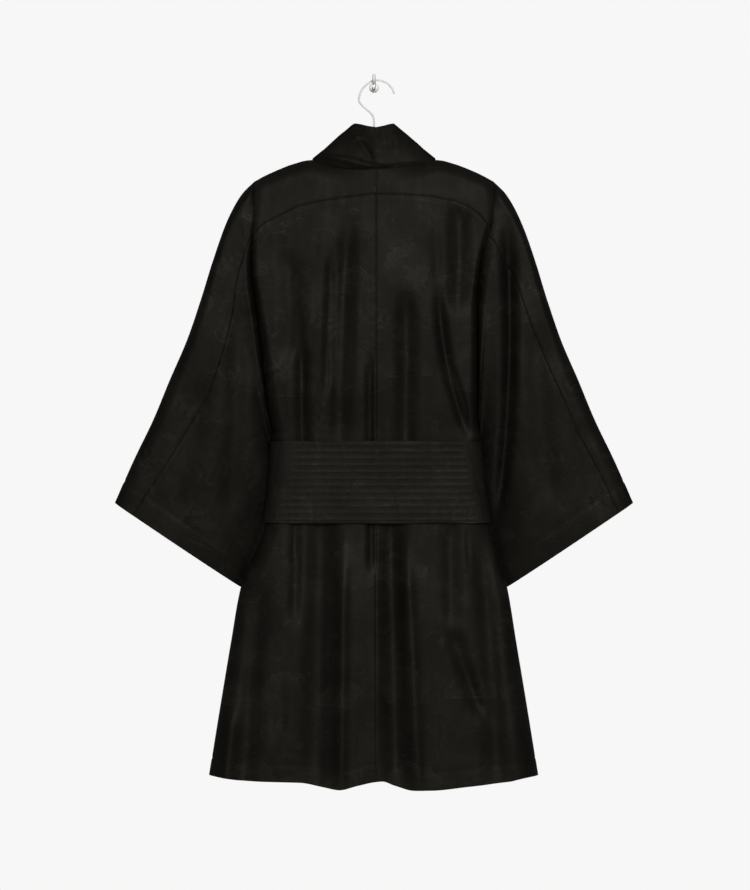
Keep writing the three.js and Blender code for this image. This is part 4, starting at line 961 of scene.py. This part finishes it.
def collar_panel(side):
    sign = side[1]
    across = spaced(44, 0.35, 0.35)
    turn = spaced(72, 0.45, 0.45)[:-1]
    share = np.concatenate([0.1 * spaced(22, 0.9, 0, 0.2), mix(0.1, 1, spaced(70, 0.0, 0.0))[1:]])
    seam = np.concatenate([mix(NECK_SIDE_Z, ARMPIT_Z, share),
                           skirt_z(sign * seam_out(HEM_Z), spaced(78)[1:])])
    lap = -collar_lap(0) / COLLAR_WIDTH
    neck = collar_neck(side, turn[:, None], mix(lap, 1, across)[None, :])
    lap = (-collar_lap(seam) / COLLAR_WIDTH)[:, None]
    part = mix(lap, 1, across[None, :])
    x = sign * mix(seam_out(seam)[:, None], free_out(seam)[:, None], part)
    lower, lower_normal, square = body_point(side, FRONT, x, seam[:, None] + free_rise(seam)[:, None] * part)
    point = np.concatenate([neck, lower])
    normal = unit(np.cross(np.gradient(point, axis=0), np.gradient(point, axis=1)) * -sign)
    normal[0, :, 0] = 0
    count = len(turn)
    fade = ease((np.arange(len(seam)) - 3) / 10)[:, None, None]
    normal[count:] = mix(normal[count:], lower_normal, fade)
    normal = unit(normal)
    seam_rise = 0.75 * COLLAR_PROUD * ease((point[:, :1, 2] + 205) / 60)
    point = point + normal * (seam_rise * (1 - across[None, :]) ** 2)[..., None]
    x, z = point[..., 0], point[..., 2]
    behind = clamp01((HANG_Y - point[..., 1]) / 8)
    sink = fold_depth(COLLAR_CREASES, x, z) * behind + 0.5 * soft_noise(x, z, (42, 60), 11)
    sink = sink + groove(x - CENTRE_X, 0.45, 1.5) * behind
    sink = sink * np.minimum(1, np.minimum(across, 1 - across)[None, :] * 10 + 0.15)
    point = point - normal * sink[..., None]
    along = np.linalg.norm(np.diff(point[:, 20], axis=0), axis=-1)
    along = np.concatenate([[0], np.cumsum(along)])
    uv = np.stack(np.broadcast_arrays(sign * (across[None, :] * COLLAR_WIDTH + 7), -along[:, None]), -1)
    return wall(f"cloth_collar_{side[0]}", point, normal, uv, BAND, COLLAR_CLOTH)


# Belt

BELT_PROUD = CAD_CLOTH / 2 + BELT_GAP + CAD_BELT / 2


def belt_point(side, layer, x, z, proud):
    point, normal, _ = body_point(side, layer, x, z, True)
    return point + normal * np.asarray(proud)[..., None], normal


BELT_ROWS_A_CHANNEL = 9
BELT_COLUMNS = 190


def belt_back():
    rows = BELT_CHANNELS * BELT_ROWS_A_CHANNEL + 1
    down = np.linspace(0, 1, rows)[:, None]
    across = ((1 - np.cos(np.pi * np.linspace(0, 1, BELT_COLUMNS))) / 2)[None, :]
    across = mix(np.linspace(0, 1, BELT_COLUMNS)[None, :], across, 0.6)
    z = mix(BELT_TOP_Z, BELT_LOW_Z, down) + 0 * across
    left, right = -belt_end["left"](z), belt_end["right"](z)
    x = mix(left, right, across)
    point, normal = np.empty((*z.shape, 3)), np.empty((*z.shape, 3))
    for side in (LEFT, RIGHT):
        mine = x < 0 if side == LEFT else x >= 0
        got = belt_point(side, BACK, x, z, np.full(z.shape, BELT_PROUD))
        point[mine], normal[mine] = got[0][mine], got[1][mine]
    phase = (down * BELT_CHANNELS) % 1
    puff = np.sin(np.pi * phase) ** 0.55
    ridge = np.exp(-((phase - 0.5) / 0.10) ** 2)
    pucker = soft_noise(x * 3.0, z * 2.0, (34, 60), 21) * 0.45 + soft_noise(x, z * 3.0, (90, 60), 22) * 0.35
    quilted = ease((mix(130, 150, down) - x) / 4) * ease((x + mix(124, 150, down)) / 30)
    rim = ease((1 - np.abs(2 * down - 1)) * 30) * ease((1 - np.abs(2 * across - 1)) * 60)
    raised = ((0.25 * puff + 0.7 * ridge) * (1 + 1.6 * pucker) * quilted + 0.4 * (1 - quilted)) * rim
    bend = 0.8 * soft_noise(x, z, (120, 200), 23)
    point = point - normal * (bend * rim)[..., None]
    uv = np.stack([x, z + 30], -1)
    piece = wall("cloth_belt_back", point, normal, uv, BELT_CORE, SASH_CLOTH, raised)
    return piece, point, normal, x


def belt_tie(side):
    name, sign = side
    back_share = mix(1, 0, spaced(40, 0.2, 0.93, 0.15))[:-1]
    front_share = spaced(120, 0.93, 0.1)
    down = np.linspace(0, 1, 46)[None, :]
    points, normals = [], []
    for layer, share in ((BACK, back_share[:, None]), (FRONT, front_share[:, None])):
        narrowed = ease(share / 0.8) if layer == FRONT else 0 * share
        top = mix(BELT_TOP_Z, TIE_MIDDLE_Z + TIE_HALF, narrowed)
        low = mix(BELT_LOW_Z, TIE_MIDDLE_Z - TIE_HALF, narrowed)
        z = mix(top, low, down)
        edge = side_out[name](z)
        inner = belt_end[name](z) if layer == BACK else -sign * 0.4
        out = mix(edge, inner, share)
        over = (OVERLAP_LIFT + 1.5) * ease(share / 0.5) if layer == FRONT else 0 * share
        if side == LEFT and layer == FRONT:
            over = over - overlap_lift(side, layer, -out, z)
        point, normal = belt_point(side, layer, sign * out, z, BELT_PROUD + over + 0 * z)
        if layer == FRONT:
            pleats = np.sin(down * 17 + 1.2 * np.sin(share * 5 + sign)) + 0.6 * np.sin(down * 31 + share * 3)
            pleats = 0.8 * pleats * ease(share / 0.35) * ease(np.minimum(down, 1 - down) * 9)
            point = point - normal * pleats[..., None]
        points.append(point)
        normals.append(normal)
    point, normal = np.concatenate(points), np.concatenate(normals)
    along = np.concatenate([[0], np.cumsum(np.linalg.norm(np.diff(point[:, 23], axis=0), axis=-1))])
    uv = np.stack(np.broadcast_arrays(along[:, None] * sign, down * -119), -1)
    return wall(f"cloth_belt_tie_{name}", point, normal, uv, BELT - 0.6, SASH_CLOTH)


def front_of_belt():
    point, _, _ = body_point(RIGHT, FRONT, np.array(0.0), np.array(float(TIE_MIDDLE_Z)), True)
    return point[1] + BELT_PROUD + OVERLAP_LIFT + 1.5 + CAD_BELT / 2


def belt_knot():
    """Flat knot: the upper turn crosses the lower one on the slant, with folds drawn in towards it."""
    around = np.linspace(0, 2 * np.pi, 121)[:-1][None, :]
    up = np.linspace(-np.pi / 2, np.pi / 2, 73)[1:-1][:, None]
    squarish = lambda value: np.sign(value) * np.abs(value) ** 0.62
    x = squarish(np.cos(up) * np.cos(around))
    y = squarish(np.cos(up) * np.sin(around))
    z = squarish(np.sin(up)) + 0 * around
    across = x * 0.7 + z
    dent = 0.2 * np.exp(-((across - 0.34) / 0.11) ** 2) + 0.2 * np.exp(-((across + 0.42) / 0.11) ** 2)
    folds = 0.045 * np.sin(across * 19 + 2 * x) + 0.03 * np.sin((x - 0.6 * z) * 14)
    shape = 1 - (dent + folds + 0.05) * np.maximum(y, 0)
    middle = front_of_belt() + TAIL + 2 * LAY_GAP + KNOT_HALF[1]
    ripple = 1 - 0.02 * np.abs(np.sin(across * 9))
    points = np.stack(np.broadcast_arrays(
        KNOT_HALF[0] * x * ripple, middle + KNOT_HALF[1] * y * shape,
        TIE_MIDDLE_Z + KNOT_HALF[2] * z * ripple), -1)
    rows, columns = points.shape[:2]
    i, j = np.meshgrid(np.arange(rows - 1), np.arange(columns), indexing="ij")
    a, b = i * columns + j, i * columns + (j + 1) % columns
    quads = np.stack([a, b, b + columns, a + columns], -1).reshape(-1, 4)
    half = columns // 2
    k = np.arange(half - 1)
    caps = []
    for row, flip in ((0, True), (rows - 1, False)):
        ring = row * columns
        cap = np.stack([ring + k, ring + k + 1, ring + columns - 2 - k, ring + columns - 1 - k], -1)
        caps.append(cap[:, ::-1] if flip else cap)
    vertices = points.reshape(-1, 3)
    uv = np.stack([vertices[:, 0] * 1.0, vertices[:, 2]], -1)
    return new_mesh("cloth_belt_knot", vertices, np.concatenate([quads, *caps]), uv, SASH_CLOTH, 60)


def belt_tail(name, x0, x1, length):
    down = spaced(110, 0.2, 0.4)[:, None]
    across = mix(-0.5, 0.5, spaced(30, 0.5, 0.5))[None, :]
    x = mix(x0, x1, down) + across * TAIL_WIDTH * mix(0.6, 1, ease(down / 0.35))
    z = TAIL_TOP_Z - length * down + 0 * across
    on_belt = front_of_belt() + LAY_GAP + TAIL / 2
    body, _, _ = body_point(LEFT, FRONT, x, z, True)
    on_front = body[..., 1] + 1.5 + BELT_GAP + TAIL / 2
    ripple = 1.5 * (1 + np.cos(across * 5 + down * 3)) * ease(down / 0.3)
    y = mix(on_belt, np.maximum(on_front, on_belt - 2), ease((down - 0.06) / 0.3)) + ripple
    gathers = 0.5 * np.sin(across * 26 + 2 * down) * ease(1 - down / 0.5) * ease(down / 0.05)
    y = y + gathers
    point = np.stack(np.broadcast_arrays(x, y, z), -1)
    normal = unit(np.cross(np.gradient(point, axis=0), np.gradient(point, axis=1)))
    normal = normal * np.where(normal[..., 1:2] < 0, -1, 1)
    uv = np.stack([across * TAIL_WIDTH + 0 * z, z], -1)
    return wall(f"cloth_belt_tail_{name}", point, normal, uv, TAIL - 0.5, SASH_CLOTH)


# Threads


def stitches(name, paths, material, pitch=3.4, long=2.5, radius=0.28):
    """Running stitches along paths of (points, normals), each a small spindle sunk half into the cloth."""
    vertices, quads = [], []
    sides, rings = 6, ((-0.5, 0.35), (-0.3, 0.95), (0.3, 0.95), (0.5, 0.35))
    angle = np.arange(sides) * 2 * np.pi / sides
    for points, normals in paths:
        step = np.linalg.norm(np.diff(points, axis=0), axis=-1)
        run = np.concatenate([[0], np.cumsum(step)])
        middles = np.arange(pitch / 2, run[-1] - pitch / 2, pitch)
        centre, ahead, out = [np.stack([np.interp(middles + shift, run, values[:, k]) for k in range(3)], -1)
                              for shift, values in ((0, points), (0.5, points), (0, normals))]
        along = unit(ahead - centre)
        out = unit(out - along * (out * along).sum(-1, keepdims=True))
        beside = np.cross(along, out)
        for c, a, o, b in zip(centre, along, out, beside):
            start = len(vertices)
            ring_points = [c + a * long * where + radius * size * (
                np.cos(angle)[:, None] * o + 1.2 * np.sin(angle)[:, None] * b) for where, size in rings]
            vertices.extend(np.concatenate(ring_points))
            for r in range(len(rings) - 1):
                for s in range(sides):
                    t = (s + 1) % sides
                    quads.append((start + r * sides + s, start + r * sides + t,
                                  start + (r + 1) * sides + t, start + (r + 1) * sides + s))
            last = start + (len(rings) - 1) * sides
            for base, flip in ((start, 1), (last, -1)):
                ends = [(0, 1, 2, 5), (2, 3, 4, 5)]
                quads.extend(tuple(base + q for q in end)[::-flip] for end in ends)
    vertices = np.array(vertices)
    uv = vertices[:, [0, 2]]
    piece = new_mesh(name, vertices, np.array(quads), uv, material, 180)
    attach(piece, "root")
    return piece


# Hanger and hook


def rounded(points, count):
    """Even points on a centripetal-like smooth line through the given ones."""
    points = np.asarray(points, float)
    chord = np.sqrt(np.linalg.norm(np.diff(points, axis=0), axis=-1))
    at = np.concatenate([[0], np.cumsum(chord)])
    where = np.linspace(0, at[-1], count)
    padded = np.concatenate([[2 * points[0] - points[1]], points, [2 * points[-1] - points[-2]]])
    knots = np.concatenate([[-chord[0]], at, [at[-1] + chord[-1]]])
    i = np.clip(np.searchsorted(at, where, side="right") - 1, 0, len(points) - 2)
    result = np.empty((count, 3))
    for n, (k, t) in enumerate(zip(i, where)):
        p, s = padded[k:k + 4], knots[k:k + 4]
        a = [((s[m + 1] - t) * p[m] + (t - s[m]) * p[m + 1]) / (s[m + 1] - s[m]) for m in range(3)]
        b = [((s[m + 2] - t) * a[m] + (t - s[m]) * a[m + 1]) / (s[m + 2] - s[m]) for m in range(2)]
        result[n] = ((s[2] - t) * b[0] + (t - s[1]) * b[1]) / (s[2] - s[1])
    return result


def rod(points, radius, count, sides=24, ends=8):
    """Round rod along points, with hemispherical ends, as vertices and quads."""
    line = rounded(points, count)
    along = unit(np.gradient(line, axis=0))
    side = unit(np.cross(along, [0.0, 1.0, 0.02]))
    for n in range(1, len(line)):
        side[n] = side[n - 1] - along[n] * (side[n - 1] @ along[n])
        side[n] /= np.linalg.norm(side[n])
    other = np.cross(along, side)
    bend = np.linspace(0, np.pi / 2, ends + 1)[:-1]
    centres = np.concatenate([line[0] - np.outer(radius * np.cos(bend), along[0]),
                              line, line[-1] + np.outer(radius * np.cos(bend[::-1]), along[-1])])
    tips = np.maximum(np.sin(bend), 0.04)
    sizes = np.concatenate([tips, np.ones(len(line)), tips[::-1]])
    side = np.concatenate([np.repeat(side[:1], ends, 0), side, np.repeat(side[-1:], ends, 0)])
    other = np.concatenate([np.repeat(other[:1], ends, 0), other, np.repeat(other[-1:], ends, 0)])
    angle = np.arange(sides) * 2 * np.pi / sides
    rings = centres[:, None] + radius * sizes[:, None, None] * (
        np.cos(angle)[None, :, None] * side[:, None] + np.sin(angle)[None, :, None] * other[:, None])
    rows = len(centres)
    i, j = np.meshgrid(np.arange(rows - 1), np.arange(sides), indexing="ij")
    a, b = i * sides + j, i * sides + (j + 1) % sides
    quads = [np.stack([a, b, b + sides, a + sides], -1).reshape(-1, 4)]
    k = np.arange(sides // 2 - 1)
    for base, flip in ((0, True), ((rows - 1) * sides, False)):
        cap = np.stack([base + k, base + k + 1, base + sides - 2 - k, base + sides - 1 - k], -1)
        quads.append(cap[:, ::-1] if flip else cap)
    return rings.reshape(-1, 3), np.concatenate(quads)


def outward(vertices, quads):
    corner = vertices[quads]
    volume = np.einsum("ij,ij->i", corner[:, 0], np.cross(corner[:, 1], corner[:, 2])
                       + np.cross(corner[:, 2], corner[:, 3])).sum()
    return quads if volume > 0 else quads[:, ::-1]


def hard_piece(name, parts, node, material):
    vertices, quads, start = [], [], 0
    for points, faces in parts:
        quads.append(outward(points, faces) + start)
        vertices.append(points)
        start += len(points)
    vertices = np.concatenate(vertices)
    piece = new_mesh(name, vertices, np.concatenate(quads), vertices[:, [0, 2]], material, 35)
    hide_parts(node)
    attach(piece, "root")
    return piece


def lathe(profile, sides=72):
    """Solid turned about the Y axis from (radius, y) points that start and end on the axis's side."""
    profile = np.asarray(profile, float)
    angle = np.arange(sides) * 2 * np.pi / sides
    radius, y = profile[:, :1], profile[:, 1:]
    rings = np.stack(np.broadcast_arrays(radius * np.cos(angle), y, radius * np.sin(angle)), -1)
    rows = len(profile)
    i, j = np.meshgrid(np.arange(rows - 1), np.arange(sides), indexing="ij")
    a, b = i * sides + j, i * sides + (j + 1) % sides
    quads = [np.stack([a, b, b + sides, a + sides], -1).reshape(-1, 4)]
    k = np.arange(sides // 2 - 1)
    for base, flip in ((0, True), ((rows - 1) * sides, False)):
        cap = np.stack([base + k, base + k + 1, base + sides - 2 - k, base + sides - 1 - k], -1)
        quads.append(cap[:, ::-1] if flip else cap)
    return rings.reshape(-1, 3), np.concatenate(quads)


wire = [(x, HANG_Y, z) for x, z in HOOK_WIRE]
hard_piece("hanger_wire", [rod(wire, 1.4, 150, 20)], "hanger_hook", WIRE_PAINT)
half_bar = [(out, HANG_Y, z) for out, z in BAR]
bar_line = [(-x, y, z) for x, y, z in half_bar[:0:-1]] + half_bar
hard_piece("hanger_shoulders", [rod(bar_line, 5, 140, 28)], "hanger_bar", BAR_PLASTIC)
PLATE_RADIUS = 7
PLATE_THICK, PLATE_EDGE = 4, 1.6
edge = [(PLATE_RADIUS - PLATE_EDGE + PLATE_EDGE * math.sin(a),
         -PLATE_THICK + PLATE_EDGE - PLATE_EDGE * math.cos(a)) for a in np.linspace(0, np.pi / 2, 9)]
plate = lathe([(0.4, -4.0), (3.0, -4.0), *edge, (PLATE_RADIUS, 0), (0.4, 0)])
peg = rod([(0, y, z) for y, z in PEG], 2.6, 60, 28)
hard_piece("wall_hook_white_metal", [plate, peg], "wall_hook", HOOK_PAINT)

# Cloth pieces

belt_piece, belt_points, belt_normals, belt_x = belt_back()
channel_paths = []
for channel in range(1, BELT_CHANNELS):
    row = channel * BELT_ROWS_A_CHANNEL
    shown = (belt_x[row] > -mix(112, 138, channel / BELT_CHANNELS)) & (
        belt_x[row] < mix(130, 150, channel / BELT_CHANNELS))
    lifted = belt_points[row] + belt_normals[row] * (BELT_CORE / 2 + 0.12)
    channel_paths.append((lifted[shown], belt_normals[row][shown]))
belt_threads = stitches("belt_channel_stitches", channel_paths, THREAD)
declared(belt_piece, "belt_back")


def lifted_path(points, normals):
    return points + normals * (CLOTH / 2 + 0.08), normals


def hem_threads():
    """Line of stitches round the hem, back and both fronts."""
    paths = []
    for side in (LEFT, RIGHT):
        name, sign = side
        for layer, inner in ((BACK, CENTRE_X), (FRONT, sign * seam_out(HEM_Z) + 3)):
            edge = sign * (side_out[name](-985.0) - 2)
            x = np.linspace(edge, inner, 160)
            z = hem_z(x) + HEM_DEPTH
            point, normal, square = body_point(side, layer, x, z)
            sink = fine_relief(layer, x, z, square) + hem_relief(x, z)
            paths.append(lifted_path(point - normal * sink[:, None], normal))
    return stitches("hem_stitches", paths, THREAD, 4.6, 3.0, 0.26)


def cuff_threads():
    """Line of stitches round both cuffs."""
    paths = []
    for side in (LEFT, RIGHT):
        for layer, start in ((BACK, 0.02), (FRONT, 0.02)):
            share = np.linspace(start, 0.98, 140)
            across = sleeve_share(side, 1.0, share)
            down = 1 - CUFF_DEPTH / mix(SLEEVE_OUTER_LENGTH, SLEEVE_INNER_LENGTH, across)
            across = sleeve_share(side, down, share)
            point, normal, square = shell_point(sleeve_shape(side, layer), layer[1], down, across)
            sink = fine_relief(layer, point[..., 0], point[..., 2], square) + 0.25
            paths.append(lifted_path(point - normal * sink[:, None], normal))
    return stitches("cuff_stitches", paths, THREAD, 4.6, 3.0, 0.26)


def pale_stitch_patch():
    """Short pale bar of thread stitches across the foot of the yoke's centre seam, lighter than the black cloth
    round it.
    """
    z = np.linspace(-153.0, -161.0, 12)
    x = np.full_like(z, CENTRE_X - 1.6)
    point, normal, _ = body_point(LEFT, BACK, x, z)
    paths = []
    for shift in np.linspace(-0.9, 0.9, 5):
        moved = point + np.array([shift, 0, 0])
        paths.append(lifted_path(moved, normal))
    return stitches("pale_stitch_rows", paths, PALE_THREAD, 2.6, 2.5, 0.24)


for made in (hem_threads(), cuff_threads(), pale_stitch_patch()):
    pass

for side in (LEFT, RIGHT):
    name = side[0]
    declared(yoke_panel(side), f"yoke_{name}")
    declared(back_panel(side), f"back_{name}")
    declared(front_panel(side), f"front_{name}")
    declared(sleeve_back_panel(side), f"sleeve_back_{name}")
    declared(sleeve_top_panel(side), f"sleeve_top_{name}")
    declared(collar_panel(side), f"collar_{name}")
    declared(belt_tie(side), f"belt_tie_{name}")

knot = belt_knot()
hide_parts("belt_knot")
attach(knot, "root")
for name, x0, x1, length in TAILS:
    declared(belt_tail(name, x0, x1, length), f"belt_tail_{name}")

# Floor, light, camera

CAMERA_X, CAMERA_Z = 1.5 * MM, -525 * MM
CLOTH_Y, DISTANCE = -0.066, 4.5
VIEW_HEIGHT = 1.2905
SENSOR = 36.0


def plain_floor():
    bpy.ops.mesh.primitive_circle_add(vertices=96, radius=1.6, fill_type="NGON", location=(0, -0.3, -1.42))
    floor = bpy.context.object
    floor.name = "floor"
    material = bpy.data.materials.new("pale_floor")
    material.use_nodes = True
    graph = Graph(material.node_tree)
    shader = graph.node("ShaderNodeBsdfPrincipled")
    place = graph.node("ShaderNodeTexCoord").outputs["Object"]
    graph.plug(graph.colours(graph.noise(place, 3.0, 4.0), (0.80, 0.80, 0.79), (0.86, 0.86, 0.85)),
               shader.inputs["Base Color"])
    shader.inputs["Roughness"].default_value = 0.8
    graph.plug(shader.outputs[0], graph.node("ShaderNodeOutputMaterial").inputs[0])
    floor.data.materials.append(material)


def soft_light(name, place, target, size, power):
    data = bpy.data.lights.new(name, "AREA")
    data.shape = "RECTANGLE"
    data.size, data.size_y = size
    data.energy = power
    lamp = bpy.data.objects.new(name, data)
    lamp.location = place
    lamp.rotation_mode = "QUATERNION"
    lamp.rotation_quaternion = (Vector(target) - Vector(place)).to_track_quat("-Z", "Y")
    lamp.visible_camera = False
    bpy.context.scene.collection.objects.link(lamp)


def pale_world():
    world = bpy.data.worlds.new("pale_studio")
    bpy.context.scene.world = world
    world.use_nodes = True
    graph = Graph(world.node_tree)
    shown = graph.node("ShaderNodeBackground")
    shown.inputs["Color"].default_value = (0.935, 0.93, 0.93, 1)
    shown.inputs["Strength"].default_value = 1.0
    lighting = graph.node("ShaderNodeBackground")
    lighting.inputs["Color"].default_value = (1, 1, 1, 1)
    lighting.inputs["Strength"].default_value = 0.12
    choose = graph.node("ShaderNodeMixShader")
    graph.plug(graph.node("ShaderNodeLightPath").outputs["Is Camera Ray"], choose.inputs[0])
    graph.plug(lighting.outputs[0], choose.inputs[1])
    graph.plug(shown.outputs[0], choose.inputs[2])
    graph.plug(choose.outputs[0], graph.node("ShaderNodeOutputWorld").inputs[0])


plain_floor()
pale_world()
MIDDLE = (0, -0.09, -0.5)
soft_light("key", (0.35, -4.0, 0.9), MIDDLE, (1.3, 1.3), 118)
soft_light("fill_left", (-2.2, -1.6, 0.5), MIDDLE, (1.4, 1.4), 5)
soft_light("fill_right", (2.3, -1.6, 0.7), MIDDLE, (1.4, 1.4), 5)
soft_light("front_key", (0, 3.9, -0.5), MIDDLE, (1.3, 1.3), 60)

camera = bpy.data.cameras.new("camera")
camera.sensor_width = SENSOR
camera.lens = SENSOR * DISTANCE / VIEW_HEIGHT
viewer = bpy.data.objects.new("camera", camera)
viewer.location = (CAMERA_X, CLOTH_Y - DISTANCE, CAMERA_Z)
viewer.rotation_euler = (math.pi / 2, 0, 0)
bpy.context.scene.collection.objects.link(viewer)
bpy.context.scene.camera = viewer
bpy.context.scene.view_settings.view_transform = "Standard"
